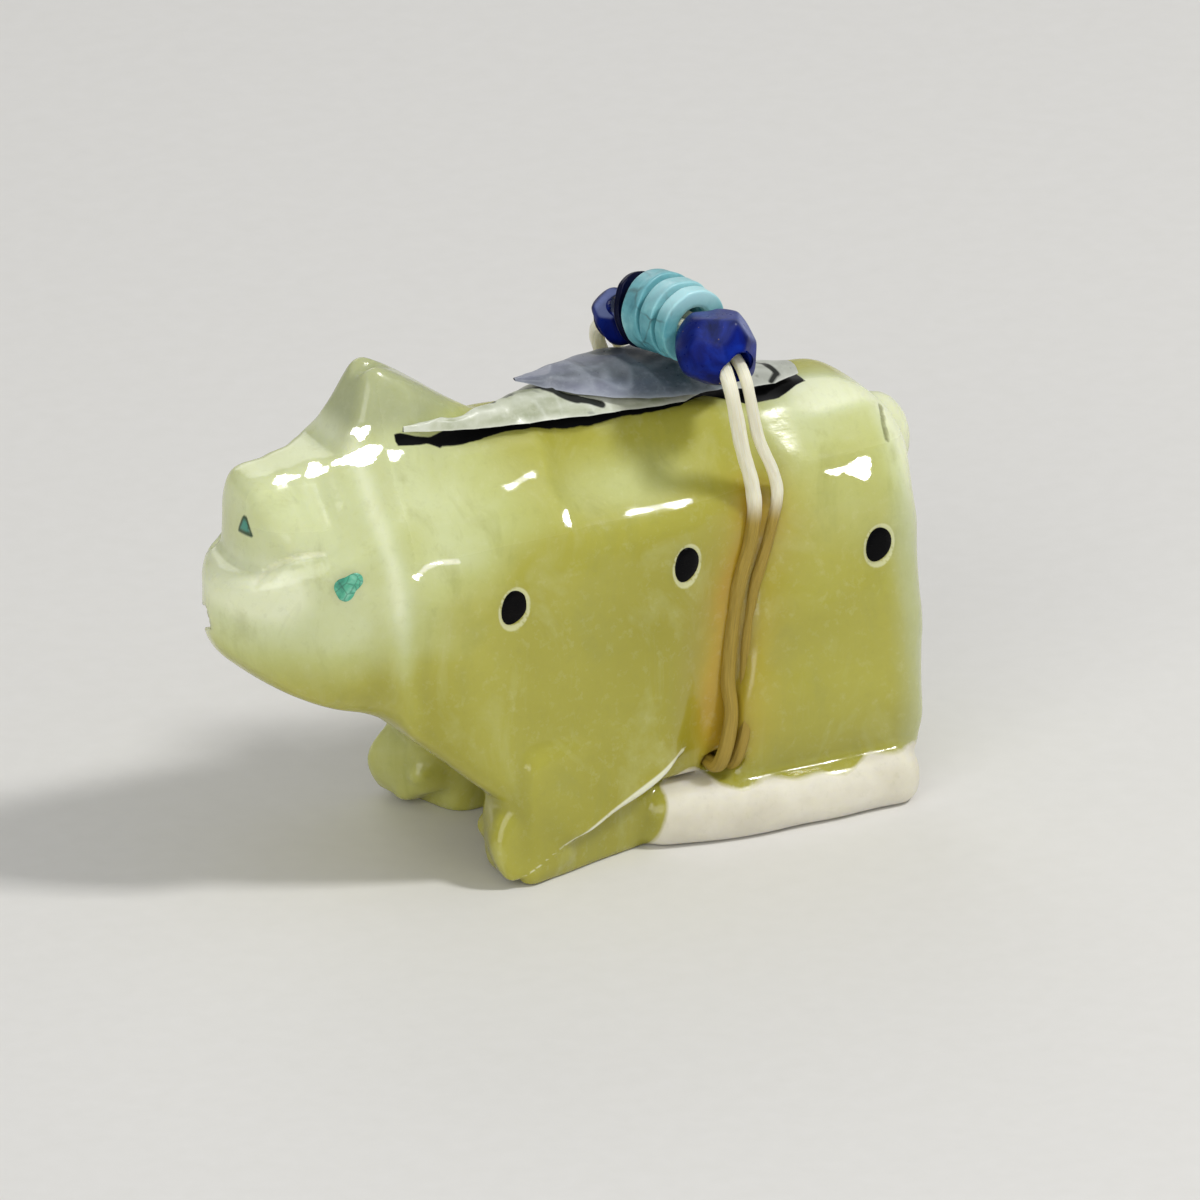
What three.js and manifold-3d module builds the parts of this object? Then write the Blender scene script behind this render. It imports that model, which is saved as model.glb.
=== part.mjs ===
// Carved stone animal carrying an offering bundle, in millimetres.
// +X runs towards the tail, -Y is the animal's left side, +Z is up, and the feet stand on Z = 0.
import * as THREE from 'three';
import { mergeVertices } from 'three/addons/utils/BufferGeometryUtils.js';
import Module from 'manifold-3d';

const wasm = await Module();
wasm.setup();

// The carving
const carvingLength = 33.2;
const eyeHeight = 1.15;
const eyeWidth = 1.25;
const spotHeight = 1.44;
const spotWidth = 1.28;
const inlayDepth = 0.9;
const inlayClearance = 0.1;

// The two flaked points on the back
const lowerPointLength = 19.4;
const lowerPointWidth = 4.3;
const lowerPointThickness = 0.9;
const upperPointLength = 9.6;
const upperPointWidth = 4.4;
const upperPointThickness = 0.65;
const restingClearance = 0.1;

// The row of beads, from the right side of the back to the left side
const farBeadDiameter = 2.5;
const farBeadLength = 1.5;
const farDiscDiameter = 3.3;
const farDiscLength = 0.3;
const firstTurquoiseDiameter = 3.55;
const firstTurquoiseLength = 1.0;
const secondTurquoiseDiameter = 3.45;
const secondTurquoiseLength = 0.8;
const thirdTurquoiseDiameter = 3.3;
const thirdTurquoiseLength = 0.65;
const nearBeadDiameter = 3.6;
const nearBeadLength = 2.7;
const beadClearance = 0.05;

// The two strands of sinew
const strandDiameter = 0.62;
const strandClearance = 0.15;

// The free form of the animal is drawn in parts, and it is 33.2 parts long from nose to tail.
const part = carvingLength / 33.2;
const flatSole = 0.15;

// Colours taken from the object
const stoneColour = 0xb4b888;
const eyeColour = 0x59a26e;
const jetColour = 0x0a0a0c;
const paleFlintColour = 0xbdbfa6;
const greyFlintColour = 0x6f7281;
const turquoiseColour = 0x4c939e;
const lapisColour = 0x142a7c;
const sinewColour = 0xd8cf9e;

// Joins of two distances, rounded over a width of k
function smoothMin(a, b, k) {
  const h = Math.max(k - Math.abs(a - b), 0) / k;
  return Math.min(a, b) - h * h * k / 4;
}

function smoothMax(a, b, k) {
  return -smoothMin(-a, -b, k);
}

// Distance to the left of the line from (u0, v0) to (u1, v1)
function leftOf(u, v, u0, v0, u1, v1) {
  const du = u1 - u0;
  const dv = v1 - v0;
  return ((v - v0) * du - (u - u0) * dv) / Math.hypot(du, dv);
}

function ellipsoid(x, y, z, c, r) {
  const k0 = Math.hypot((x - c[0]) / r[0], (y - c[1]) / r[1], (z - c[2]) / r[2]);
  const k1 = Math.hypot((x - c[0]) / r[0] ** 2, (y - c[1]) / r[1] ** 2, (z - c[2]) / r[2] ** 2);
  return k0 * (k0 - 1) / Math.max(k1, 1e-9);
}

function capsule(x, y, z, a, b, r) {
  const d = [b[0] - a[0], b[1] - a[1], b[2] - a[2]];
  const dot = (x - a[0]) * d[0] + (y - a[1]) * d[1] + (z - a[2]) * d[2];
  const t = Math.min(Math.max(dot / (d[0] ** 2 + d[1] ** 2 + d[2] ** 2), 0), 1);
  return Math.hypot(x - a[0] - t * d[0], y - a[1] - t * d[1], z - a[2] - t * d[2]) - r;
}

function roundBox(x, y, z, c, h, r) {
  const qx = Math.abs(x - c[0]) - h[0] + r;
  const qy = Math.abs(y - c[1]) - h[1] + r;
  const qz = Math.abs(z - c[2]) - h[2] + r;
  const outside = Math.hypot(Math.max(qx, 0), Math.max(qy, 0), Math.max(qz, 0));
  return outside + Math.min(Math.max(qx, qy, qz), 0) - r;
}

// Value at x of the straight lines that join the given places
function between(x, places, values) {
  let i = 1;
  while (i < places.length - 1 && x > places[i]) {
    i += 1;
  }
  const t = Math.min(Math.max((x - places[i - 1]) / (places[i] - places[i - 1]), 0), 1);
  return values[i - 1] + t * (values[i] - values[i - 1]);
}

// Height of the animal's back above the ground, falling towards the tail, with the hips as a bell
function backHeight(x) {
  return 18.9 - 0.0055 * Math.max(x + 6, 0) ** 2 + 0.8 * Math.exp(-(((x - 12.6) / 3.1) ** 2));
}

// Masses of the animal, each a distance in parts, with a = distance from the middle plane
function head(x, a, z) {
  const steps = between(x, [-15, -13.1, -11.3, -8], [-0.62, -0.55, -0.15, -0.1]);
  const inward = between(x, [-14, -12, -10.6], [0.5, 0.4, 0]);
  const top = (z - 19.25 - 0.13 * (x + 9)) * 0.99;
  const bevel = leftOf(a, z, 1.8 - inward, 19.05 + steps, 4.25, 15.2);
  const cheek = leftOf(x, a, -14.4, 2.4, -12.2, 4.25);
  const flank = leftOf(x, a, -12.2, 4.25, -8.0, 4.8);
  const face = smoothMax(smoothMax(-x - 15.0, cheek, 1.4), flank, 1.4);
  const throat = leftOf(x, z, -7.8, 6.9, -14.6, 9.5);
  const jowl = leftOf(a, z, 4.9, 11.0, 3.2, 7.6);
  const below = smoothMax(throat, jowl, 1.8);
  const crown = smoothMax(top, bevel, 0.6);
  return smoothMax(smoothMax(crown, smoothMax(face, below, 1.4), 0.9), x + 7.0, 2.0);
}

function muzzle(x, a, z) {
  const front = -x - 16.4;
  const side = smoothMax(leftOf(x, a, -15.9, 1.75, -12.2, 4.2), leftOf(x, a, -12.2, 4.1, -8.0, 3.7), 0.8);
  const bridge = leftOf(x, z, -16.0, 14.4, -12.4, 15.5);
  const throat = leftOf(x, z, -7.8, 6.9, -14.6, 9.5);
  const chin = leftOf(x, z, -14.4, 9.4, -16.5, 11.2);
  const jowl = leftOf(a, z, 4.9, 11.0, 3.2, 7.6);
  const below = smoothMax(smoothMax(throat, chin, 1.0), jowl, 1.2);
  const block = smoothMax(smoothMax(front, side, 1.9), bridge, 0.7);
  return smoothMax(smoothMax(block, below, 1.3), x + 8.5, 2.0);
}

function ears(x, a, z) {
  const front = leftOf(x, z, -10.7, 18.8, -9.15, 22.5);
  const rear = leftOf(x, z, -8.7, 22.5, -3.5, 19.1);
  const side = leftOf(a + 0.36 * Math.max(x + 7.5, 0), z, 1.05, 22.2, 2.2, 18.5);
  const pair = smoothMax(smoothMax(front, rear, 0.8), side, 0.7);
  const parting = ellipsoid(x, a, z, [-8.9, 0.0, 22.75], [1.9, 0.42, 0.9]);
  return smoothMax(smoothMax(pair, 17.5 - z, 0.5), -parting, 0.35);
}

// Line of the fold behind the foreleg, positive below it
function fold(x, z) {
  return leftOf(x, z, 2.9, 3.95, -2.4, 1.5);
}

function trunk(x, a, z) {
  const drop = 18.6 - backHeight(x);
  const bevel = leftOf(a, z + drop * 0.75, 1.6, 18.6, 4.2, 15.0);
  const side = leftOf(a, z, 4.3, 14.8, 4.9, 4.0);
  const chest = leftOf(x, z, -3.6, 2.6, -8.2, 6.4);
  const section = smoothMax(smoothMax(side, bevel, 1.2), x - 15.35, 1.8);
  const below = smoothMax(2.7 - z, chest, 1.5);
  return smoothMax(smoothMax(section, below, 1.2), -x - 9.0, 0.5);
}

function shoulder(x, a, z) {
  const side = leftOf(a, z, 4.65, 14.7, 6.25, 0.5);
  const bevel = leftOf(a, z, 1.75, 18.7, 4.7, 14.8);
  const front = leftOf(x, a, -11.2, 4.1, -7.2, 5.6);
  const rear = x - 4.4 - 0.19 * (z - 6);
  const chest = leftOf(x, z, -4.6, 3.2, -8.2, 6.5);
  const inside = 2.0 - a - 2 * Math.max(z - 3, 0);
  const mass = smoothMax(smoothMax(side, rear, 2.6), bevel, 1.2);
  const fore = smoothMax(smoothMax(mass, smoothMax(front, chest, 1.2), 1.1), -x - 10.2, 1.2);
  return smoothMax(smoothMax(fore, fold(x, z), 0.3), smoothMax(inside, 1.3 - z, 0.8), 0.8);
}

function forearm(x, a, z) {
  const upper = leftOf(x, a, -4.0, 6.1, 1.9, 4.85);
  const lower = leftOf(x, a - 0.16 * z, -3.6, 6.0, 2.05, 4.5);
  const ends = smoothMax(-x - 4.3 - 0.3 * (a - 5), x - 2.2, 0.9);
  const across = smoothMax(smoothMax(upper, lower, 0.8), smoothMax(2.2 - a, z - 6, 0.9), 0.9);
  return smoothMax(smoothMax(across, ends, 0.9), -z - flatSole, 0.3);
}

const toes = [
  [[-4.1, 5.45, 0.5], [-2.6, 5.2, 1.0], 0.56],
  [[-4.5, 4.0, 0.8], [-2.9, 4.2, 1.3], 0.74],
  [[-4.74, 3.0, 1.82], [-3.2, 3.4, 2.1], 0.44],
];

function paw(x, a, z) {
  const top = leftOf(x, z, -6.2, 2.75, -4.0, 4.3);
  const side = smoothMax(leftOf(a, z, 5.2, 7.0, 6.0, 0.5), 2.5 - a, 0.8);
  const sole = smoothMax((0.5 * (3.7 - a) - z) / 1.118, leftOf(x, z, -4.9, 0.0, -6.3, 1.5), 0.5);
  const tip = smoothMax(-(x + 3.9 + 0.38 * a) / 1.07, top, 1.0);
  let block = smoothMax(tip, smoothMax(side, sole, 0.6), 0.9);
  block = smoothMax(smoothMax(block, fold(x, z), 0.3), x + 2.0, 1.5);
  for (const [low, high, radius] of toes) {
    block = smoothMin(block, capsule(x, a, z, low, high, radius), 0.3);
  }
  return smoothMax(smoothMax(block, (0.6 * (4.2 - a) - z) / 1.17, 0.4), -z - flatSole, 0.3);
}

function haunch(x, a, z) {
  const drop = 17.9 - backHeight(x);
  const side = leftOf(a, z, 4.3, 14.6, 5.9, 5.0);
  const low = leftOf(a, z, 6.0, 4.6, 5.2, 2.0);
  const dish = Math.hypot(a - 15.47, z + drop * 0.5 - 32.2) - 20.27;
  const bevel = smoothMax(leftOf(a, z + drop * 0.5, 1.2, 17.9, 4.3, 15.0), -dish, 0.3);
  const front = -(x - 4.9 - 0.2 * z);
  const rear = x - 15.42 + 0.1 * Math.max(7 - z, 0);
  const mass = smoothMax(smoothMax(side, rear, 2.6), smoothMax(front, low, 1.3), 0.8);
  return smoothMax(smoothMax(mass, bevel, 0.9), 1.3 - z, 1.0);
}

function hindFoot(x, a, z) {
  const block = roundBox(x, a, z, [7.95, 4.2, 1.15], [6.55, 2.15, 1.4], 1.25);
  const toe = smoothMax(block, leftOf(x, a, 1.0, 4.9, 4.2, 6.3), 1.6);
  return smoothMax(toe, -z - flatSole, 0.3);
}

function tail(x, y, z) {
  return ellipsoid(x, y, z, [15.2, 0, 14.0], [1.7, 1.3, 2.2]);
}

// Distance to the animal's surface, in parts, negative inside the stone
function animal(x, y, z) {
  const a = Math.hypot(y, 0.2);
  let body = smoothMin(trunk(x, a, z), shoulder(x, a, z), 0.6);
  body = smoothMin(body, haunch(x, a, z), 0.45);
  body = smoothMax(body, z - backHeight(x), 0.8);
  body = smoothMax(body, leftOf(x, z, 14.1, 17.7, 16.4, 14.9), 1.2);
  const scoop = smoothMax(Math.hypot(a - 19.09, z - 28.15) - 20, smoothMax(-x - 2.0, x - 9, 1), 1.6);
  body = smoothMax(body, -scoop, 0.35);
  let whole = smoothMin(head(x, a, z), muzzle(x, a, z), 0.3);
  whole = smoothMin(whole, body, 0.8);
  const neckGroove = capsule(x, a, z, [-9.7, 5.9, 17.5], [-9.3, 6.2, 7.5], 1.2);
  whole = smoothMax(whole, -neckGroove, 0.7);
  whole = smoothMin(whole, smoothMin(forearm(x, a, z), paw(x, a, z), 0.3), 0.4);
  whole = smoothMin(whole, hindFoot(x, a, z), 0.4);
  whole = smoothMin(whole, ears(x, a, z), 0.6);
  return smoothMin(whole, tail(x, y, z), 0.3);
}

// Outward direction of a distance function at a point
function outward(distance, p) {
  const e = 0.02;
  const [x, y, z] = p;
  return new THREE.Vector3(
    distance(x + e, y, z) - distance(x - e, y, z),
    distance(x, y + e, z) - distance(x, y - e, z),
    distance(x, y, z + e) - distance(x, y, z - e),
  ).normalize();
}

// Moves a point in parts along the surface's outward direction until it stands the given height above it
function settle(p, height) {
  let q = [...p];
  for (let i = 0; i < 6; i += 1) {
    const n = outward(animal, q);
    const step = height - animal(...q);
    q = [q[0] + step * n.x, q[1] + step * n.y, q[2] + step * n.z];
  }
  return q;
}

// Grid lines from start to end, where each stretch [until, step] has its own spacing
function gridLines(start, stretches) {
  const lines = [start];
  let from = start;
  for (const [until, step] of stretches) {
    const count = Math.max(1, Math.round((until - from) / step));
    for (let i = 1; i <= count; i += 1) {
      lines.push(from + (until - from) * i / count);
    }
    from = until;
  }
  return lines;
}

// Closed surface where the distance is zero: one vertex in each grid cell that it crosses, moved onto it
function surfaceOf(distance, xs, ys, zs) {
  const at = (i, j, k) => (i * ys.length + j) * zs.length + k;
  const values = new Float64Array(xs.length * ys.length * zs.length);
  xs.forEach((x, i) => ys.forEach((y, j) => zs.forEach((z, k) => {
    values[at(i, j, k)] = distance(x, y, z);
  })));
  const points = [];
  const vertexOf = new Map();
  const corners = [0, 1, 2, 3, 4, 5, 6, 7].map((c) => [c & 1, (c >> 1) & 1, c >> 2]);
  for (let i = 0; i + 1 < xs.length; i += 1) {
    for (let j = 0; j + 1 < ys.length; j += 1) {
      for (let k = 0; k + 1 < zs.length; k += 1) {
        const sum = [0, 0, 0];
        let crossings = 0;
        for (let c = 0; c < 8; c += 1) {
          for (const bit of [1, 2, 4]) {
            if (c & bit) {
              continue;
            }
            const [a, b] = [corners[c], corners[c | bit]];
            const va = values[at(i + a[0], j + a[1], k + a[2])];
            const vb = values[at(i + b[0], j + b[1], k + b[2])];
            if ((va < 0) === (vb < 0)) {
              continue;
            }
            const t = va / (va - vb);
            sum[0] += xs[i + a[0]] + t * (xs[i + b[0]] - xs[i + a[0]]);
            sum[1] += ys[j + a[1]] + t * (ys[j + b[1]] - ys[j + a[1]]);
            sum[2] += zs[k + a[2]] + t * (zs[k + b[2]] - zs[k + a[2]]);
            crossings += 1;
          }
        }
        if (crossings > 0) {
          let p = sum.map((s) => s / crossings);
          for (let step = 0; step < 2; step += 1) {
            const n = outward(distance, p);
            const d = distance(...p);
            const move = Math.min(Math.max(d, -0.35), 0.35);
            p = [p[0] - move * n.x, p[1] - move * n.y, p[2] - move * n.z];
          }
          vertexOf.set(at(i, j, k), points.length);
          points.push(p);
        }
      }
    }
  }
  const index = [];
  const apart = (a, b) => Math.hypot(...points[a].map((v, n) => v - points[b][n]));
  const quad = (a, b, c, d, turned) => {
    const [p, q, r, s] = turned ? [a, d, c, b] : [a, b, c, d];
    if (apart(p, r) < apart(q, s)) {
      index.push(p, q, r, p, r, s);
    } else {
      index.push(p, q, s, q, r, s);
    }
  };
  for (let i = 1; i + 1 < xs.length; i += 1) {
    for (let j = 1; j + 1 < ys.length; j += 1) {
      for (let k = 1; k + 1 < zs.length; k += 1) {
        const inside = values[at(i, j, k)] < 0;
        const cell = (u, v, w) => vertexOf.get(at(i - u, j - v, k - w));
        if (inside !== (values[at(i + 1, j, k)] < 0)) {
          quad(cell(0, 0, 0), cell(0, 0, 1), cell(0, 1, 1), cell(0, 1, 0), inside);
        }
        if (inside !== (values[at(i, j + 1, k)] < 0)) {
          quad(cell(0, 0, 0), cell(1, 0, 0), cell(1, 0, 1), cell(0, 0, 1), inside);
        }
        if (inside !== (values[at(i, j, k + 1)] < 0)) {
          quad(cell(0, 0, 0), cell(0, 1, 0), cell(1, 1, 0), cell(1, 0, 0), inside);
        }
      }
    }
  }
  const geometry = new THREE.BufferGeometry();
  geometry.setAttribute('position', new THREE.Float32BufferAttribute(points.flat(), 3));
  geometry.setIndex(index);
  return geometry;
}

// Solid for joining and cutting, from a closed geometry
function solidOf(geometry) {
  const bare = geometry.clone();
  bare.deleteAttribute('normal');
  bare.deleteAttribute('uv');
  const merged = mergeVertices(bare, 1e-4);
  return new wasm.Manifold(new wasm.Mesh({
    numProp: 3,
    vertProperties: new Float32Array(merged.attributes.position.array),
    triVerts: new Uint32Array(merged.index.array),
  }));
}

function geometryOf(solid) {
  const mesh = solid.getMesh();
  const geometry = new THREE.BufferGeometry();
  geometry.setAttribute('position', new THREE.Float32BufferAttribute(mesh.vertProperties, 3));
  geometry.setIndex(Array.from(mesh.triVerts));
  return geometry;
}

// Cylinder along a direction, centred on a point
function cylinderAlong(radius, length, centre, direction, sides) {
  const geometry = new THREE.CylinderGeometry(radius, radius, length, sides);
  const turn = new THREE.Quaternion().setFromUnitVectors(new THREE.Vector3(0, 1, 0), direction);
  geometry.applyQuaternion(turn);
  geometry.translate(centre.x, centre.y, centre.z);
  return geometry;
}

// Place and outward direction of an inlay, in millimetres, where side is -1 on the left
function inlaySeat(inlay, side) {
  const p = settle([inlay.x, side * 5, inlay.z], 0);
  return {
    centre: new THREE.Vector3(...p).multiplyScalar(part),
    normal: outward(animal, p),
  };
}

const inlays = [
  { name: 'eye', width: eyeWidth, height: eyeHeight, colour: eyeColour, x: -12.1, z: 14.36 },
  { name: 'spot_front', width: spotWidth, height: spotHeight, colour: jetColour, x: -4.56, z: 12.3 },
  { name: 'spot_middle', width: spotWidth, height: spotHeight, colour: jetColour, x: 3.7, z: 12.5 },
  { name: 'spot_rear', width: spotWidth, height: spotHeight, colour: jetColour, x: 12.86, z: 11.56 },
];
const sides = [['left', -1], ['right', 1]];

// Oval plug with its outer face on the stone. With spare it is the pocket, open to the outside.
function inlaySolid(inlay, seat, spare) {
  const depth = inlayDepth + spare;
  const reach = spare > 0 ? depth + 2 : depth;
  const geometry = new THREE.CylinderGeometry(1, 1, reach, 16);
  geometry.scale(inlay.width / 2 + spare, 1, inlay.height / 2 + spare);
  geometry.translate(0, reach / 2 - depth, 0);
  const upright = new THREE.Vector3(0, 0, 1).addScaledVector(seat.normal, -seat.normal.z).normalize();
  const forward = seat.normal.clone().cross(upright);
  geometry.applyMatrix4(new THREE.Matrix4().makeBasis(forward, seat.normal, upright));
  geometry.translate(seat.centre.x, seat.centre.y, seat.centre.z);
  return geometry;
}

// Way of the sinew under the belly, just above the hind feet, in parts
const passageX = 5.3;
const passageZ = 3.35;

// The mouth, a slot that deepens to the right side and slopes down to it, and the sinew's passage, in parts
function carvedCuts() {
  const across = new THREE.Vector3(0, 1, 0);
  const passageRadius = (strandDiameter + 2 * strandClearance) / part;
  const passage = cylinderAlong(passageRadius, 16, new THREE.Vector3(passageX, 0, passageZ), across, 12);
  const mouth = new THREE.BoxGeometry(3, 0.88, 6);
  const inward = new THREE.Vector3(0.875, -0.485, 0).normalize();
  const forward = new THREE.Vector3(-0.446, -0.805, 0.391).normalize();
  const upward = forward.clone().cross(inward);
  mouth.applyMatrix4(new THREE.Matrix4().makeBasis(inward, upward, forward));
  mouth.translate(-15.87, 2.98, 11.29);
  return [passage, mouth];
}

function stoneBody() {
  const xs = gridLines(-18, [[-1.2, 0.76], [1.2, 1.2], [9, 0.86], [13.5, 1.3], [18, 0.9]]);
  const ys = gridLines(-7.6, [[7.6, 0.76]]);
  const zs = gridLines(-1.6, [[4.8, 0.8], [13.5, 1.45], [23.5, 0.83]]);
  let stone = solidOf(surfaceOf(animal, xs, ys, zs));
  for (const cut of carvedCuts()) {
    stone = stone.subtract(solidOf(cut));
  }
  const ground = new THREE.BoxGeometry(60, 40, 4);
  ground.translate(0, 0, -2);
  stone = stone.subtract(solidOf(ground));
  const sized = geometryOf(stone);
  sized.scale(part, part, part);
  stone = solidOf(sized);
  for (const inlay of inlays) {
    for (const [, side] of sides) {
      stone = stone.subtract(solidOf(inlaySolid(inlay, inlaySeat(inlay, side), inlayClearance)));
    }
  }
  return geometryOf(stone);
}

// Flaked stone point, tip first along +X. Each station gives both edges as shares of the width.
function flakedPoint(length, width, thickness, edges, tipThickness) {
  const across = 6;
  const last = edges.length - 1;
  const points = [];
  const row = (i, face) => {
    const t = i / last;
    const [near, far] = edges[i];
    const full = Math.min(1, tipThickness + t / 0.3) * Math.min(1, 0.45 + 1.4 * (1 - t));
    return Array.from({ length: across + 1 }, (_, j) => {
      const s = 2 * j / across - 1;
      const rim = i === 0 || i === last || j === 0 || j === across;
      const chip = 0.86 + 0.14 * Math.sin(2.7 * i + 4.1 * j + 1.9 * face);
      const rise = rim ? 0 : face * thickness / 2 * full * (1 - Math.abs(s) ** 2.2) * chip;
      return [t * length, (near + (far - near) * j / across) * width, rise];
    });
  };
  const index = [];
  for (const face of [1, -1]) {
    const base = points.length;
    edges.forEach((_, i) => points.push(...row(i, face)));
    for (let i = 0; i < last; i += 1) {
      for (let j = 0; j < across; j += 1) {
        const a = base + i * (across + 1) + j;
        const [b, c, d] = [a + across + 1, a + across + 2, a + 1];
        index.push(...(face > 0 ? [a, b, c, a, c, d] : [a, c, b, a, d, c]));
      }
    }
  }
  const geometry = new THREE.BufferGeometry();
  geometry.setAttribute('position', new THREE.Float32BufferAttribute(points.flat(), 3));
  geometry.setIndex(index);
  return mergeVertices(geometry, 1e-4);
}

const lowerEdges = [
  [-0.5, -0.46], [-0.53, -0.4], [-0.52, -0.33], [-0.5, -0.16], [-0.52, 0.16], [-0.5, 0.36], [-0.53, 0.42],
  [-0.5, 0.38], [-0.51, 0.44], [-0.49, 0.4], [-0.28, 0.42], [-0.41, 0.33], [-0.4, 0.26], [-0.24, 0.12],
];
const upperEdges = [
  [-0.03, 0.03], [-0.2, 0.16], [-0.33, 0.27], [-0.46, 0.38], [-0.54, 0.45], [-0.58, 0.44], [-0.6, 0.5],
  [-0.58, 0.42], [-0.42, 0.34],
];

// Places of the points' tips and of the lower point's left edge, in parts, and the slope of both points
const lowerTipX = -8.2;
const lowerNearEdge = -2.15;
const upperTipX = -1.65;
const pointSlope = 0.08;

// Height of the lower point's middle plane at x, in millimetres. It rests where the back has its slope.
function lowerMiddle(x) {
  const restX = Math.tan(pointSlope) / 0.011 - 6;
  const rest = backHeight(restX) * part + restingClearance + lowerPointThickness / 2;
  return rest - Math.tan(pointSlope) * (x - restX * part);
}

function upperMiddle(x) {
  return lowerMiddle(x) + (lowerPointThickness + upperPointThickness) / 2 + restingClearance;
}

// Bead about +Y with a bore for both strands. uneven shifts the sides of a rough stone in and out.
const beadBore = 2 * strandDiameter + 3 * strandClearance;

function bead(diameter, length, sidesAround, chamfer, uneven) {
  const inner = beadBore / 2 / Math.cos(Math.PI / sidesAround);
  const outer = diameter / 2;
  const half = length / 2;
  const profile = [
    [inner, -half], [outer - chamfer, -half], [outer, -half + chamfer],
    [outer, half - chamfer], [outer - chamfer, half], [inner, half], [inner, -half],
  ].map(([r, y]) => new THREE.Vector2(r, y));
  const lathe = new THREE.LatheGeometry(profile, sidesAround);
  lathe.deleteAttribute('normal');
  lathe.deleteAttribute('uv');
  const geometry = mergeVertices(lathe, 1e-4);
  const place = geometry.attributes.position;
  for (let i = 0; i < place.count; i += 1) {
    const [x, y, z] = [place.getX(i), place.getY(i), place.getZ(i)];
    const radius = Math.hypot(x, z);
    if (radius > inner + 1e-3) {
      const angle = Math.atan2(z, x);
      const factor = 1 - uneven * (0.5 + 0.5 * Math.sin(3 * angle + 2.2 * y));
      const reach = Math.max(radius * factor, inner + 0.25 * (radius - inner));
      place.setXYZ(i, x * reach / radius, y, z * reach / radius);
    }
  }
  return geometry;
}

const turquoise = { sides: 16, chamfer: 0.18, uneven: 0, colour: turquoiseColour };
const lapis = { sides: 7, chamfer: 0.6, uneven: 0.1, colour: lapisColour };
const smallLapis = { ...lapis, chamfer: 0.25 };
const disc = { ...lapis, sides: 12, chamfer: 0.07 };
const beads = [
  { ...smallLapis, name: 'bead_far', diameter: farBeadDiameter, length: farBeadLength },
  { ...disc, name: 'bead_far_disc', diameter: farDiscDiameter, length: farDiscLength },
  { ...turquoise, name: 'bead_turquoise_1', diameter: firstTurquoiseDiameter, length: firstTurquoiseLength },
  {
    ...turquoise,
    name: 'bead_turquoise_2',
    diameter: secondTurquoiseDiameter,
    length: secondTurquoiseLength,
  },
  { ...turquoise, name: 'bead_turquoise_3', diameter: thirdTurquoiseDiameter, length: thirdTurquoiseLength },
  { ...lapis, name: 'bead_near', diameter: nearBeadDiameter, length: nearBeadLength },
];
const rowLength = beads.reduce((sum, b) => sum + b.length + beadClearance, -beadClearance);

// Middle line of the row of beads over the back, from right to left, measured from the top of its arch
const rowShares = [
  [-0.17, 0.57, -0.245], [-0.1, 0.365, -0.08], [-0.03, 0.185, -0.018], [0, 0, 0],
  [0.025, -0.19, -0.003], [0.057, -0.385, -0.052], [0.071, -0.542, -0.125], [0.06, -0.66, -0.215],
];
const beyondRow = [-0.06, 0.64, -0.43];

function placeInRow(share) {
  const x = 5.25 * part;
  const radius = Math.max(...beads.map((b) => b.diameter)) / 2;
  const rest = upperMiddle(x) + upperPointThickness / 2 + restingClearance;
  const top = new THREE.Vector3(x, -0.95 * part, rest + radius);
  return new THREE.Vector3(...share).multiplyScalar(rowLength).add(top);
}

function beadLine() {
  return new THREE.CatmullRomCurve3(rowShares.map(placeInRow));
}

// Place and direction of each bead. Where the line bends, the end faces set the distance of neighbours.
function beadSeats() {
  const line = beadLine();
  const whole = line.getLength();
  const seatsFrom = (start) => {
    let at = start + beads[0].length / 2;
    return beads.map((b, i) => {
      if (i > 0) {
        const before = beads[i - 1];
        const flat = (before.length + b.length) / 2 + beadClearance;
        const face = Math.min(before.diameter / 2 - before.chamfer, b.diameter / 2 - b.chamfer);
        const along = line.getTangentAt(at / whole);
        let next = at + flat;
        for (let pass = 0; pass < 4; pass += 1) {
          const bend = along.angleTo(line.getTangentAt(Math.min(next / whole, 1)));
          next = at + flat + face * Math.tan(bend);
        }
        at = next;
      }
      return { at, centre: line.getPointAt(at / whole), along: line.getTangentAt(at / whole) };
    });
  };
  const first = seatsFrom(0);
  const end = first[first.length - 1].at + beads[beads.length - 1].length / 2;
  return seatsFrom((whole - end) / 2);
}

// Closed middle line of both strands: through the beads, down the waist, under the belly and up again,
// with a free place beyond each end of the row
function sinewLine() {
  const line = beadLine();
  const through = [0.04, 0.16, 0.28, 0.42, 0.58, 0.7, 0.8, 0.9, 0.98].map((u) => line.getPointAt(u));
  const waist = [[7.6, 5, 15], [7.25, 5, 13.2], [6.2, 5.3, 10.6], [5.5, 5.5, 7.1], [5.35, 5.6, 5.4]];
  const height = (strandDiameter / 2 + 1.5 * strandClearance) / part;
  const placed = (p) => new THREE.Vector3(...p).multiplyScalar(part);
  const below = [-5.3, -3.5, 0, 3.5, 5.3].map((y) => placed([passageX, y, passageZ]));
  const leftSide = waist.map(([x, y, z]) => placed(settle([x, -y, z], height)));
  const rightSide = waist.map(([x, y, z]) => placed(settle([x, y, z], height))).reverse();
  const fall = placed([6.35, -4.9, 17.6]);
  return [...through, fall, ...leftSide, ...below, ...rightSide, placeInRow(beyondRow)];
}

function strand(shift) {
  const middle = sinewLine();
  const points = middle.map((p, i) => {
    const next = middle[(i + 1) % middle.length];
    const before = middle[(i + middle.length - 1) % middle.length];
    const along = next.clone().sub(before).normalize();
    const sideways = new THREE.Vector3(1, 0, 0).addScaledVector(along, -along.x).normalize();
    return p.clone().addScaledVector(sideways, shift * (strandDiameter + strandClearance) / 2);
  });
  const curve = new THREE.CatmullRomCurve3(points, true, 'centripetal');
  return new THREE.TubeGeometry(curve, 48, strandDiameter / 2, 6, true);
}

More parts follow.
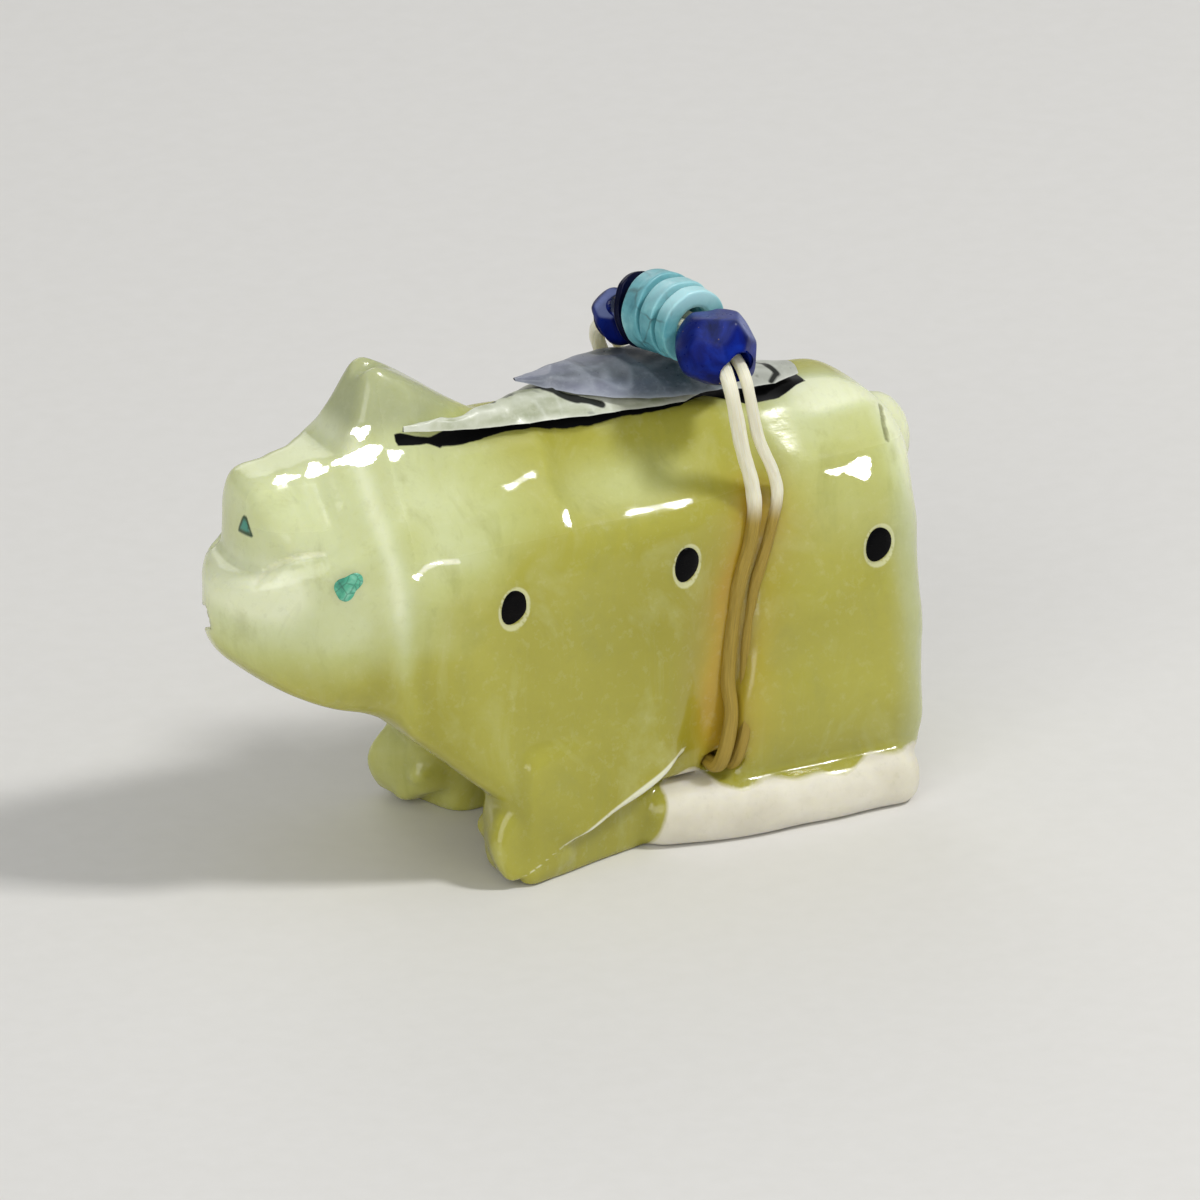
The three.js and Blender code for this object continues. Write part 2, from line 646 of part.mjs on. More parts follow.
function mesh(name, geometry, colour, roughness) {
  geometry.computeVertexNormals();
  const material = new THREE.MeshStandardMaterial({ color: colour, roughness, metalness: 0 });
  const result = new THREE.Mesh(geometry, material);
  result.name = name;
  return result;
}

// The carving with its inlays
const fetish = new THREE.Group();
fetish.add(mesh('stone_body', stoneBody(), stoneColour, 0.3));
for (const inlay of inlays) {
  for (const [sideName, side] of sides) {
    const plug = inlaySolid(inlay, inlaySeat(inlay, side), 0);
    fetish.add(mesh(`${inlay.name}_${sideName}`, plug, inlay.colour, 0.25));
  }
}

// The bundle: the lower point lies along the back, the upper point on it, and the beads across both
const lowerShape = flakedPoint(lowerPointLength, lowerPointWidth, lowerPointThickness, lowerEdges, 0.3);
const lower = mesh('arrowhead_lower', lowerShape, paleFlintColour, 0.35);
lower.rotation.y = pointSlope;
const lowerMiddleY = lowerNearEdge * part + lowerPointWidth / 2;
lower.position.set(lowerTipX * part, lowerMiddleY, lowerMiddle(lowerTipX * part));
fetish.add(lower);
const upperShape = flakedPoint(upperPointLength, upperPointWidth, upperPointThickness, upperEdges, 0.2);
const upper = mesh('arrowhead_upper', upperShape, greyFlintColour, 0.3);
upper.rotation.set(0, pointSlope, -0.06);
upper.position.set(upperTipX * part, 0.3 * part, upperMiddle(upperTipX * part));
fetish.add(upper);
const seats = beadSeats();
beads.forEach((item, i) => {
  const shape = bead(item.diameter, item.length, item.sides, item.chamfer, item.uneven);
  const placed = mesh(item.name, shape, item.colour, 0.4);
  placed.position.copy(seats[i].centre);
  placed.quaternion.setFromUnitVectors(new THREE.Vector3(0, 1, 0), seats[i].along);
  fetish.add(placed);
});
fetish.add(mesh('sinew_front', strand(-1), sinewColour, 0.6));
fetish.add(mesh('sinew_rear', strand(1), sinewColour, 0.6));

// The origin is on the ground, under the middle of the whole object
const extent = new THREE.Box3().setFromObject(fetish, true);
fetish.position.x = -(extent.min.x + extent.max.x) / 2;
const object = new THREE.Group();
object.add(fetish);

export default object;
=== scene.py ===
import bmesh
import bpy
import numpy as np
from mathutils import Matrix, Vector


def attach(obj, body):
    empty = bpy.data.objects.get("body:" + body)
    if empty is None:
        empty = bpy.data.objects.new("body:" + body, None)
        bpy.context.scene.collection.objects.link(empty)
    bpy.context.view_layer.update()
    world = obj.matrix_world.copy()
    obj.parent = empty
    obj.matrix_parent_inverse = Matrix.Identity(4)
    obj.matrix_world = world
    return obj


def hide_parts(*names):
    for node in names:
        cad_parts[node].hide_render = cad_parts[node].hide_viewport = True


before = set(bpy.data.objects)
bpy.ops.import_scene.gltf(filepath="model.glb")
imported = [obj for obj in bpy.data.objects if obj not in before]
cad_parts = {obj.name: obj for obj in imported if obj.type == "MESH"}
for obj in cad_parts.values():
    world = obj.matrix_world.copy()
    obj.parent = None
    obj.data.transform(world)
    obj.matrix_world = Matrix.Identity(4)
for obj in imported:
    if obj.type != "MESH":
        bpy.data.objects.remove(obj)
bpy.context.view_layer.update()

# Lengths are in millimetres, as the carver would measure them. The carving is drawn from its own zero point,
# and put_on_ground() moves a finished mesh into the frame of the solids and into metres.
TO_FRAME = np.array([-0.2904, 0.0, 0.0])

# Grid step of the stone's skin.
FINE = 0.165


def put_on_ground(points):
    """(point + shift of the carving's zero) / 1000, as one array."""
    return (np.asarray(points, float) + TO_FRAME) / 1000


# ---------------------------------------------------------------- steps, bells and the carving's distances

def smooth_min(a, *more):
    """The smallest of several distances. After each further distance b stands the width k over which it is rounded
    where it crosses those before it: the smaller one less h h k / 4, with h = 1 - difference / k."""
    for b, k in zip(more[::2], more[1::2]):
        h = np.maximum(k - np.abs(a - b), 0) / k
        a = np.minimum(a, b) - h * h * k / 4
    return a


def smooth_max(a, *more):
    """The largest of several distances, rounded in the same way: -smooth_min(-a, -b, k)."""
    for b, k in zip(more[::2], more[1::2]):
        a = -smooth_min(-a, -b, k)
    return a


def smooth_step(value, start, end):
    """0 at start and 1 at end, whichever is larger: t t (3 - 2 t)."""
    t = np.clip((value - start) / (end - start), 0, 1)
    return t * t * (3 - 2 * t)


def zone(*steps):
    """Product of smooth steps, each given as a value, where it starts and where it is full."""
    return np.prod([smooth_step(*step) for step in steps], axis=0)


def bell(value, middle, width):
    """e to the power of minus the square of the way from the middle, in widths."""
    return np.exp(-((value - middle) / width) ** 2)


def left_of(u, v, u0, v0, u1, v1):
    """Distance to the left of the line from (u0, v0) to (u1, v1)."""
    du, dv = u1 - u0, v1 - v0
    return ((v - v0) * du - (u - u0) * dv) / np.hypot(du, dv)


def ellipsoid(x, y, z, c, r):
    """Distance to an ellipsoid about c: k0 (k0 - 1) / k1, with k0 and k1 the lengths of p / r and p / r squared."""
    p = [x - c[0], y - c[1], z - c[2]]
    k0 = np.sqrt(sum((q / s) ** 2 for q, s in zip(p, r)))
    k1 = np.sqrt(sum((q / s ** 2) ** 2 for q, s in zip(p, r)))
    return k0 * (k0 - 1) / np.maximum(k1, 1e-9)


def rod(x, y, z, a, b, r):
    """Distance to the segment from a to b, less the radius r."""
    d = np.subtract(b, a)
    t = np.clip(((x - a[0]) * d[0] + (y - a[1]) * d[1] + (z - a[2]) * d[2]) / (d @ d), 0, 1)
    return np.sqrt((x - a[0] - t * d[0]) ** 2 + (y - a[1] - t * d[1]) ** 2 + (z - a[2] - t * d[2]) ** 2) - r


def round_box(x, y, z, c, h, r):
    """Distance to a box with half sizes h about c, with edges rounded to the radius r."""
    q = [np.abs(v - m) - w + r for v, m, w in zip((x, y, z), c, h)]
    outside = np.sqrt(sum(np.maximum(v, 0) ** 2 for v in q))
    return outside + np.minimum(np.maximum(np.maximum(q[0], q[1]), q[2]), 0) - r


def back_height(x):
    """18.9 to the front, falling with the square of the way towards the tail, with a bell for the hips."""
    return 18.9 - 0.0055 * np.maximum(x + 6, 0) ** 2 + 0.8 * bell(x, 12.6, 3.1)


def throat(x, z):
    """Sloping underside from the chest to the chin."""
    return left_of(x, z, -7.8, 6.9, -14.6, 9.5)


def jaw(a, z):
    """Bevel between the cheek and the throat."""
    return left_of(a, z, 4.9, 11.0, 3.2, 7.6)


def head(x, a, z):
    """Wedge of a brow, two cheeks, a throat and a bevelled crown, where a is the distance from the middle plane."""
    top = (z - 19.25 - 0.13 * (x + 9)) * 0.99
    steps = np.interp(x, [-15, -13.1, -12.75, -11.75, -11.3, -8], [-0.62, -0.6, -0.44, -0.42, -0.15, -0.1])
    inward = np.interp(x, [-14.0, -12.0, -10.6], [0.5, 0.4, 0.0])
    crown = smooth_max(top, left_of(a, z, 1.8 - inward, 19.05 + steps, 4.25, 15.2), 0.4)
    cheek = left_of(x, a, -14.4, 2.4, -12.2, 4.25)
    flank = left_of(x, a, -12.2, 4.25, -8.0, 4.8)
    face = smooth_max(-x - 15.0, cheek, 1.4, flank, 1.4)
    below = smooth_max(throat(x, z), jaw(a, z), 1.8)
    return smooth_max(crown, smooth_max(face, below, 1.4), 0.9, x + 7.0, 2.0)


def muzzle(x, a, z):
    """Blunt block in front of the face, with a flat bridge, a chin and narrowing sides."""
    side = smooth_max(left_of(x, a, -15.9, 1.75, -12.2, 4.2), left_of(x, a, -12.2, 4.1, -8.0, 3.7), 0.8)
    bridge = left_of(x, z, -16.0, 14.4, -12.4, 15.5)
    chin = left_of(x, z, -14.4, 9.4, -16.5, 11.2)
    below = smooth_max(throat(x, z), chin, 1.0, jaw(a, z), 1.2)
    return smooth_max(-x - 16.4, side, 1.9, bridge, 0.7, below, 1.3, x + 8.5, 2.0)


def ears(x, a, z):
    """Ridge between a steep front and a long rear slope, parted down the middle by an ellipsoid."""
    front = left_of(x, z, -10.7, 18.8, -9.15, 22.5)
    rear = left_of(x, z, -8.7, 22.5, -3.5, 19.1)
    side = left_of(a + 0.36 * np.maximum(x + 7.5, 0), z, 1.05, 22.2, 2.2, 18.5)
    parting = ellipsoid(x, a, z, [-8.9, 0.0, 22.75], [1.9, 0.42, 0.9])
    return smooth_max(front, rear, 0.8, side, 0.7, 17.5 - z, 0.5, -parting, 0.35)


def fold(x, z):
    """Positive under the line of the fold behind the foreleg."""
    return left_of(x, z, 2.9, 3.95, -2.4, 1.5)


def trunk(x, a, z):
    """Block with bevelled upper edges, from the chest to the rump."""
    drop = 18.6 - back_height(x)
    bevel = left_of(a, z + drop * 0.75, 1.6, 18.6, 4.2, 15.0)
    side = left_of(a, z, 4.3, 14.8, 4.9, 4.0)
    chest = left_of(x, z, -3.6, 2.6, -8.2, 6.4)
    below = smooth_max(2.7 - z, chest, 1.5)
    return smooth_max(side, bevel, 1.2, x - 15.35, 1.8, below, 1.2, -x - 9.0, 0.5)


def shoulder(x, a, z):
    """Wider slab that runs down into the foreleg and ends at the fold behind it."""
    side = left_of(a, z, 4.65, 14.7, 6.25, 0.5)
    bevel = left_of(a, z, 1.75, 18.7, 4.7, 14.8)
    front = left_of(x, a, -11.2, 4.1, -7.2, 5.6)
    rear = x - 4.4 - 0.19 * (z - 6)
    chest = left_of(x, z, -4.6, 3.2, -8.2, 6.5)
    inside = 2.0 - a - 2 * np.maximum(z - 3, 0)
    fore = smooth_max(front, chest, 1.2)
    hollow = smooth_max(inside, 1.3 - z, 0.8)
    return smooth_max(side, rear, 2.6, bevel, 1.2, fore, 1.1, -x - 10.2, 1.2, fold(x, z), 0.3, hollow, 0.8)


def forearm(x, a, z):
    """Upright block of the foreleg under the fold. It narrows to the rear, and meets the toes in one surface."""
    outer = smooth_max(left_of(x, a, -4.0, 6.1, 1.9, 4.85), left_of(x, a - 0.16 * z, -3.6, 6.0, 2.05, 4.5), 0.8)
    ends = smooth_max(-x - 4.3 - 0.3 * (a - 5), x - 2.2, 0.9)
    return smooth_max(outer, ends, 0.9, smooth_max(2.2 - a, z - 6, 0.9), 0.9)


# Inner end, outer end and radius of each rod that makes a toe.
TOES = (
    ([-4.1, 5.45, 0.5], [-2.6, 5.2, 1.0], 0.56), ([-4.5, 4.0, 0.8], [-2.9, 4.2, 1.3], 0.74),
    ([-4.74, 3.0, 1.82], [-3.2, 3.4, 2.1], 0.44),
)


def paw(x, a, z):
    """Front foot: a block with a sloping top, and three rounded toes, the inner one raised."""
    top = left_of(x, z, -6.2, 2.75, -4.0, 4.3)
    side = smooth_max(left_of(a, z, 5.2, 7.0, 6.0, 0.5), 2.5 - a, 0.8)
    sole = smooth_max((0.5 * (3.7 - a) - z) / 1.118, left_of(x, z, -4.9, 0.0, -6.3, 1.5), 0.5)
    front = -(x + 3.9 + 0.38 * a) / 1.07
    block = smooth_max(front, top, 1.0, smooth_max(side, sole, 0.6), 0.9, fold(x, z), 0.3, x + 2.0, 1.5)
    for low, high, radius in TOES:
        block = smooth_min(block, rod(x, a, z, low, high, radius), 0.3)
    return smooth_max(block, (0.6 * (4.2 - a) - z) / 1.17, 0.4)


def haunch(x, a, z):
    """Upright slab of the hind quarter, with a rounded rump and a bevelled top."""
    drop = 17.9 - back_height(x)
    side = left_of(a, z, 4.3, 14.6, 5.9, 5.0)
    low = left_of(a, z, 6.0, 4.6, 5.2, 2.0)
    bevel = np.hypot(a - 1.2 - 14.27, z + drop * 0.5 - 17.9 - 14.3) - 20.27
    bevel = smooth_max(left_of(a, z + drop * 0.5, 1.2, 17.9, 4.3, 15.0), -bevel, 0.3)
    front = -(x - 4.9 - 0.2 * z)
    rear = x - 15.42 + 0.1 * np.maximum(7 - z, 0)
    return smooth_max(side, rear, 2.6, smooth_max(front, low, 1.3), 0.8, bevel, 0.9, 1.3 - z, 1.0)


def hind_foot(x, a, z):
    """Long round-edged pad, cut off slantwise at the toe."""
    block = round_box(x, a, z, [7.95, 4.2, 1.15], [6.55, 2.15, 1.4], 1.25)
    return smooth_max(block, left_of(x, a, 1.0, 4.9, 4.2, 6.3), 1.6)


def masses(x, y, z):
    """All parts of the animal joined, with the saddle, the neck groove and the hand's small unevenness."""
    a = np.hypot(y, 0.2)
    body = smooth_min(trunk(x, a, z), shoulder(x, a, z), 0.6, haunch(x, a, z), 0.45)
    scoop = smooth_max(np.hypot(a - 19.09, z - 28.15) - 20.0, smooth_max(-x - 2.0, x - 9, 1), 1.6)
    above_tail = left_of(x, z, 14.1, 17.7, 16.4, 14.9)
    body = smooth_max(body, z - back_height(x), 0.8, above_tail, 1.2, -scoop, 0.35)
    whole = smooth_min(head(x, a, z), muzzle(x, a, z), 0.3, body, 0.8)
    groove = rod(x, a, z, [-9.7, 5.9, 17.5], [-9.3, 6.2, 7.5], 1.2)
    whole = smooth_max(whole, -groove, 0.7)
    foreleg = smooth_min(forearm(x, a, z), paw(x, a, z), 0.3)
    tail = ellipsoid(x, y, z, [15.2, 0, 14.0], [1.7, 1.3, 2.2])
    return smooth_min(whole, foreleg, 0.4, hind_foot(x, a, z), 0.4, ears(x, a, z), 0.6, tail, 0.3)


def hand_marks(x, y, z):
    """Low waves that a grinding wheel leaves, in mm: 0.05 times a product of two sines of different directions, and
    0.012 times a shorter such product."""
    long_wave = np.sin(0.9 * x + 0.5 * y + 0.7 * z + 1.0) * np.sin(0.7 * z - 0.6 * x + 0.4 * y)
    short_wave = np.sin(2.1 * x + 1.3 * z + 0.8 * y) * np.sin(1.7 * z - 1.1 * y + 0.4)
    return 0.05 * long_wave + 0.012 * short_wave


def mouth(x, y, z):
    """Slot across the muzzle that deepens to the right side and slopes down to it, as the largest of three distances.
    Its planes lie square to the picture of the photo."""
    depth = 0.875 * x - 0.485 * y + 13.82
    height = np.abs(0.190 * x + 0.342 * y + 0.9205 * z - 8.4) - 0.44
    left_end = -0.446 * x - 0.805 * y + 0.391 * z - 12.1
    return smooth_max(depth, height, 0.3, left_end, 0.3)


# Passage for the sinew under the belly: its middle and its half sizes, along the body and up.
PASSAGE, PASSAGE_SIZE = (5.3, 3.35), (0.8, 0.45)


def runs_between(*points):
    """Pairs of neighbours in a row of points."""
    return list(zip(points, points[1:]))


# Fine cut lines, as points on the stone with y counted outward from the middle plane. A painted highlight line also
# runs along the cheek line, and painted shade along the line at the tail.
CHEEK_LINE = runs_between(
    [-15.1, 1.97, 14.5], [-14.6, 1.98, 14.95], [-14.1, 2.5, 15.4], [-13.6, 2.95, 15.7], [-12.7, 3.38, 15.8])
TAIL_LINE = runs_between([14.5, 2.1, 16.5], [14.36, 2.46, 16.38], [14.17, 2.97, 16.05], [14.07, 3.41, 15.55])


def animal(x, y, z):
    """The masses with the mouth, the fine lines and the sinew passage cut in, standing on a slightly rounded sole. The
    line at the tail is on the left side only."""
    stone = smooth_max(masses(x, y, z) + hand_marks(x, y, z), -mouth(x, y, z), 0.12)
    for outward, line in ((np.abs(y), CHEEK_LINE), (-y, TAIL_LINE)):
        for low, high in line:
            stone = smooth_max(stone, -rod(x, outward, z, low, high, 0.12), 0.1)
    wide, high = PASSAGE_SIZE
    passage = (np.hypot((x - PASSAGE[0]) / wide, (z - PASSAGE[1]) / high) - 1) * high
    return smooth_max(stone, -passage, 0.2, -z, 0.25)


ALONG, UP = np.array([1.0, 0, 0]), np.array([0, 0, 1.0])


def unit(vectors):
    """Each vector divided by its length."""
    return vectors / np.linalg.norm(vectors, axis=-1, keepdims=True)


def square_to(directions, way):
    """Unit direction nearest to the way that stands square to each of the given unit directions."""
    return unit(way - (directions @ way)[..., None] * directions)


def turned(u, v, angle):
    """Two coordinates turned by an angle: u cos + v sin, and v cos - u sin."""
    c, s = np.cos(angle), np.sin(angle)
    return c * u + s * v, c * v - s * u


def all_round(count):
    """Even angles of a full turn."""
    return np.linspace(0, 2 * np.pi, count, endpoint=False)


def section(radius, u, v):
    """Points of a cross section, one for each column of radii: radius (u cos t + v sin t)."""
    angle = all_round(radius.shape[-1])
    return (radius * np.cos(angle))[..., None] * u + (radius * np.sin(angle))[..., None] * v


def slope(distance, p):
    """Distance at each point and its unit outward direction, from differences 0.02 mm to each side."""
    e = 0.02
    x, y, z = p.T
    g = np.stack([distance(*(p + way).T) - distance(*(p - way).T) for way in e * np.eye(3)], axis=1) / (2 * e)
    size = np.maximum(np.linalg.norm(g, axis=1, keepdims=True), 1e-6)
    return distance(x, y, z) / size[:, 0], g / size


def settle(p, height=0.0):
    """Moves points along the stone's outward direction until they stand the given height above it."""
    p = np.array(p, float).reshape(-1, 3)
    for _ in range(6):
        d, n = slope(masses, p)
        p = p + (height - d)[:, None] * n
    return p


# ---------------------------------------------------------------- turning shapes into meshes

def skin(distance, low, high, step):
    """Closed surface where the distance is zero. Each grid cell that it crosses holds one vertex, at the mean of the
    crossings on the cell's edges and then moved onto the surface. Each crossed grid edge joins its four cells by a
    quad."""
    xs, ys, zs = (np.arange(a, b + step, step) for a, b in zip(low, high))
    values = np.empty((len(xs), len(ys), len(zs)), np.float32)
    slices_at_once = 12
    for i in range(0, len(xs), slices_at_once):
        some = slice(i, i + slices_at_once)
        values[some] = distance(*np.meshgrid(xs[some], ys, zs, indexing="ij"))
    inside = values < 0
    steps = np.eye(3, dtype=int)
    corners = [(c & 1, (c >> 1) & 1, c >> 2) for c in range(8)]
    nx, ny, nz = values.shape
    full = sum(inside[i:nx - 1 + i, j:ny - 1 + j, k:nz - 1 + k].astype(np.int8) for i, j, k in corners)
    crossed = (full > 0) & (full < 8)
    cells = np.argwhere(crossed)
    number = np.full(crossed.shape, -1)
    number[crossed] = np.arange(len(cells))
    total = np.zeros((len(cells), 3))
    hits = np.zeros(len(cells))
    for corner in corners:
        for axis in range(3):
            if corner[axis]:
                continue
            a = cells + corner
            b = a + steps[axis]
            va, vb = values[tuple(a.T)], values[tuple(b.T)]
            cut = (va < 0) != (vb < 0)
            t = va[cut] / (va[cut] - vb[cut])
            total[cut] += a[cut] + t[:, None] * steps[axis]
            hits[cut] += 1
    points = np.array(low) + step * total / hits[:, None]
    for _ in range(3):
        d, n = slope(distance, points)
        points -= np.clip(d, -0.5 * step, 0.5 * step)[:, None] * n
    quads = []
    for axis in range(3):
        next_axis, last_axis = (axis + 1) % 3, (axis + 2) % 3
        u, v = steps[next_axis], steps[last_axis]
        here = np.take(inside, range(values.shape[axis] - 1), axis)
        there = np.take(inside, range(1, values.shape[axis]), axis)
        at = np.argwhere(here != there)
        at = at[(at[:, next_axis] > 0) & (at[:, last_axis] > 0)]
        ring = np.stack([number[tuple((at - m).T)] for m in (0 * u, u, u + v, v)], axis=1)
        outward = here[tuple(at.T)]
        ring[~outward] = ring[~outward][:, ::-1]
        quads.append(ring)
    return points, np.concatenate(quads)


def new_mesh(name, points, faces, material):
    """Smooth-shaded mesh from points in metres and faces, with one material."""
    mesh = bpy.data.meshes.new(name)
    mesh.from_pydata(np.asarray(points).tolist(), [], [list(map(int, face)) for face in faces])
    mesh.update()
    mesh.polygons.foreach_set("use_smooth", np.ones(len(mesh.polygons), bool))
    mesh.materials.append(material)
    return mesh


def in_scene(name, data):
    """New object with the given data, linked to the scene."""
    made = bpy.data.objects.new(name, data)
    bpy.context.scene.collection.objects.link(made)
    return made


def new_piece(name, points, faces, material, replaces, uv=None, marks=None):
    """Mesh object at the origin from arrays in mm, riding on the root body in place of its solid. uv and marks give
    each point its place in the texture and its values for the material."""
    mesh = new_mesh(name, put_on_ground(points), faces, material)
    if uv is not None:
        corner = np.empty(len(mesh.loops), int)
        mesh.loops.foreach_get("vertex_index", corner)
        mesh.uv_layers.new(name="UVMap").data.foreach_set("uv", np.asarray(uv, np.float32)[corner].ravel())
    for key, value in (marks or {}).items():
        mesh.attributes.new(key, "FLOAT", "POINT").data.foreach_set("value", value.astype(np.float32))
    piece = in_scene(name, mesh)
    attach(piece, "root")
    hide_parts(replaces)
    return piece


def grid_faces(rows, columns, close_rows=False, close_columns=False):
    """Quads of a grid whose point (i, j) has the number i * columns + j, closed round in either direction if asked."""
    i = np.arange(rows if close_rows else rows - 1)[:, None]
    j = np.arange(columns if close_columns else columns - 1)[None, :]
    next_i, next_j = (i + 1) % rows, (j + 1) % columns
    ring = [i * columns + j, next_i * columns + j, next_i * columns + next_j, i * columns + next_j]
    return np.stack(ring, axis=-1).reshape(-1, 4)


# ---------------------------------------------------------------- materials

def tone(hex_colour):
    """Linear colour of a screen colour such as "b4b888": ((c + 0.055) / 1.055) to the power 2.4."""
    c = np.array([int(hex_colour[i:i + 2], 16) for i in (0, 2, 4)]) / 255
    linear = np.where(c <= 0.04045, c / 12.92, ((c + 0.055) / 1.055) ** 2.4)
    return (*linear.tolist(), 1.0)


class Recipe:
    """One material's nodes. n() adds a node: plain values go to its first sockets in their order, and named ones to
    the socket or setting of that name. put() gives a socket a link, a number or a screen colour. The rest are common
    mixes, each of which returns a socket."""

    def __init__(self, name):
        self.material = bpy.data.materials.new(name)
        self.material.use_nodes = True
        self.tree = self.material.node_tree
        self.tree.nodes.clear()
        self.shader = self.n("ShaderNodeBsdfPrincipled")
        self.n("ShaderNodeOutputMaterial", self.shader.outputs[0])
        self.place = self.n("ShaderNodeTexCoord").outputs["Object"]

    def n(self, kind, *first, **named):
        node = self.tree.nodes.new(kind)
        for key, value in named.items():
            if key in node.inputs:
                self.put(node.inputs[key], value)
            else:
                setattr(node, key, value)
        for socket, value in zip(node.inputs, first):
            self.put(socket, value)
        return node

    def put(self, socket, value):
        if isinstance(value, bpy.types.NodeSocket):
            self.tree.links.new(value, socket)
        else:
            socket.default_value = tone(value) if isinstance(value, str) else value

    def math(self, kind, a, b):
        return self.n("ShaderNodeMath", a, b, operation=kind).outputs[0]

    def times(self, a, b):
        return self.math("MULTIPLY", a, b)

    def plus(self, a, b):
        return self.math("ADD", a, b)

    def ragged(self, mark, noise, amount):
        """The mark, moved up and down by the noise's way from its middle value of 0.5."""
        return self.plus(self.mark(mark), self.times(self.math("SUBTRACT", noise, 0.5), amount))

    def mix(self, factor, a, b):
        node = self.n("ShaderNodeMix", factor, data_type="RGBA", clamp_result=True)
        self.put(node.inputs[6], a)
        self.put(node.inputs[7], b)
        return node.outputs[2]

    def noise(self, scale, detail=3.0, rough=0.55, where=None, distortion=0.0):
        where = where or self.place
        node = self.n("ShaderNodeTexNoise", where, Scale=scale, Detail=detail, Roughness=rough, Distortion=distortion)
        return node.outputs["Fac"]

    def cells(self, scale, feature="F1", where=None):
        where = where or self.place
        return self.n("ShaderNodeTexVoronoi", where, feature=feature, Scale=scale).outputs["Distance"]

    def ramp(self, value, *stops):
        node = self.n("ShaderNodeValToRGB", value)
        elements = node.color_ramp.elements
        while len(elements) < len(stops):
            elements.new(0.5)
        for element, (at, shade) in zip(elements, stops):
            element.position, element.color = at, tone(shade)
        return node.outputs[0]

    def span(self, value, low, high, to_low=0.0, to_high=1.0):
        return self.n("ShaderNodeMapRange", value, low, high, to_low, to_high, clamp=True).outputs[0]

    def mark(self, name):
        return self.n("ShaderNodeAttribute", attribute_name=name).outputs["Fac"]

    def stretched(self, x, y, z, where=None):
        return self.n("ShaderNodeMapping", where or self.place, Scale=(x, y, z)).outputs[0]

    def bump(self, height, strength, distance, **after):
        """after may hold a Normal, which this bump goes on top of."""
        return self.n("ShaderNodeBump", Strength=strength, Distance=distance, Height=height, **after).outputs[0]

    def finish(self, **values):
        for key, value in values.items():
            self.put(self.shader.inputs[key.replace("_", " ")], value)
        return self.material


def serpentine():
    """Waxy yellow-green stone: olive belly, paler head and rump, clouds, fine pale specks, iron discolouring together
    with painted shade in the waist's groove, a white foot, painted shade under the lower point and along the fold and
    the tail's line, and painted highlight lines along edges."""
    r = Recipe("serpentine")
    cloud = r.noise(130, 4, 0.55, distortion=0.4)
    wisps = r.noise(420, 5, 0.6, where=r.stretched(1.0, 1.0, 0.45), distortion=0.8)
    shades = (0.0, "9e9830"), (0.35, "b0ac48"), (0.65, "c2c680"), (0.85, "d2d8a8"), (1.0, "e6eac6")
    body = r.ramp(r.ragged("pale", cloud, 0.55), *shades)
    body = r.mix(r.span(wisps, 0.52, 0.72, 0, 0.3), body, "c9cb93")
    body = r.mix(r.span(wisps, 0.3, 0.44, 0.28, 0), body, "95964a")
    # Iron discolouring, and painted shade in the waist's groove along the sinew.
    body = r.mix(r.mark("stain_and_groove_shade"), body, r.mix(r.span(cloud, 0.35, 0.65), "b08f28", "c6a634"))
    body = r.mix(r.times(r.mark("grey"), 0.85), body, "a9ae86")
    spot = r.mix(r.span(r.mark("far_eye"), 0.1, 0.2), "2c4a26", "3f8f7c")
    for mark, outside, inside, most, shade in (
            # The first entry on the next line is painted shade along the fold and the line at the tail.
            ("crease_shade", -0.03, 0.03, 0.6, "5e5c1c"), ("halo", -0.04, 0.05, 0.7, "dfe0ae"),
            # The first entry on the next line paints pale highlight lines along the fold, the cheek line and the edge
            # lines.
            ("glint_lines", -0.04, 0.04, 0.85, "f6f6dc"), ("far_eye", -0.03, 0.05, 1, spot)):
        body = r.mix(r.span(r.mark(mark), outside, inside, 0, most), body, shade)
    white = r.span(r.ragged("white", wisps, 0.4), -0.08, 0.1)
    body = r.mix(white, body, r.mix(r.span(r.noise(300, 4), 0.3, 0.7), "cfc9b6", "e8e3d3"))
    # Painted shade under the lower point: near black, with no glow from inside and a rougher surface.
    shade_under_point = r.span(r.ragged("shade_under_point", wisps, 0.25), -0.02, 0.03)
    grain = r.noise(2200, 4, 0.7)
    body = r.mix(r.span(grain, 0.55, 0.75, 0.0, 0.12), body, "e4e6c4")
    body = r.mix(r.span(grain, 0.3, 0.45, 0.1, 0.0), body, "84863e")
    body = r.mix(shade_under_point, body, "030303")
    scratches = r.noise(2600, 3, 0.7, where=r.stretched(0.25, 1.0, 1.6))
    rough = r.plus(r.span(cloud, 0.3, 0.7, 0.1, 0.17), r.span(scratches, 0.5, 0.75, 0, 0.1))
    rough = r.plus(rough, r.times(r.mark("dull"), 0.3))
    rough = r.plus(rough, r.times(r.math("MAXIMUM", white, shade_under_point), 0.4))
    shape = r.bump(r.noise(650, 4, 0.5), 0.12, 0.0004)
    shape = r.bump(scratches, 0.05, 0.00008, Normal=shape)
    return r.finish(
        Base_Color=body, Roughness=rough, Normal=shape, IOR=1.56, Subsurface_Scale=0.0022,
        Specular_IOR_Level=r.span(r.mark("dull"), 0, 1, 0.5, 0.15),
        Subsurface_Weight=r.times(r.math("SUBTRACT", 1.0, shade_under_point), 0.55),
        Subsurface_Radius=(1.0, 0.95, 0.45),
    )


def jet():
    """Polished black inlay with faint brown clouding and hairline scratches."""
    r = Recipe("jet")
    colour = r.mix(r.span(r.noise(900, 3), 0.45, 0.75), "030304", "0e0b0a")
    marks = r.noise(4000, 2, 0.6, where=r.stretched(0.2, 1, 1.4))
    return r.finish(Base_Color=colour, Roughness=r.span(marks, 0.4, 0.7, 0.2, 0.38), IOR=1.6,
                    Specular_IOR_Level=0.06, Normal=r.bump(marks, 0.08, 0.00006))


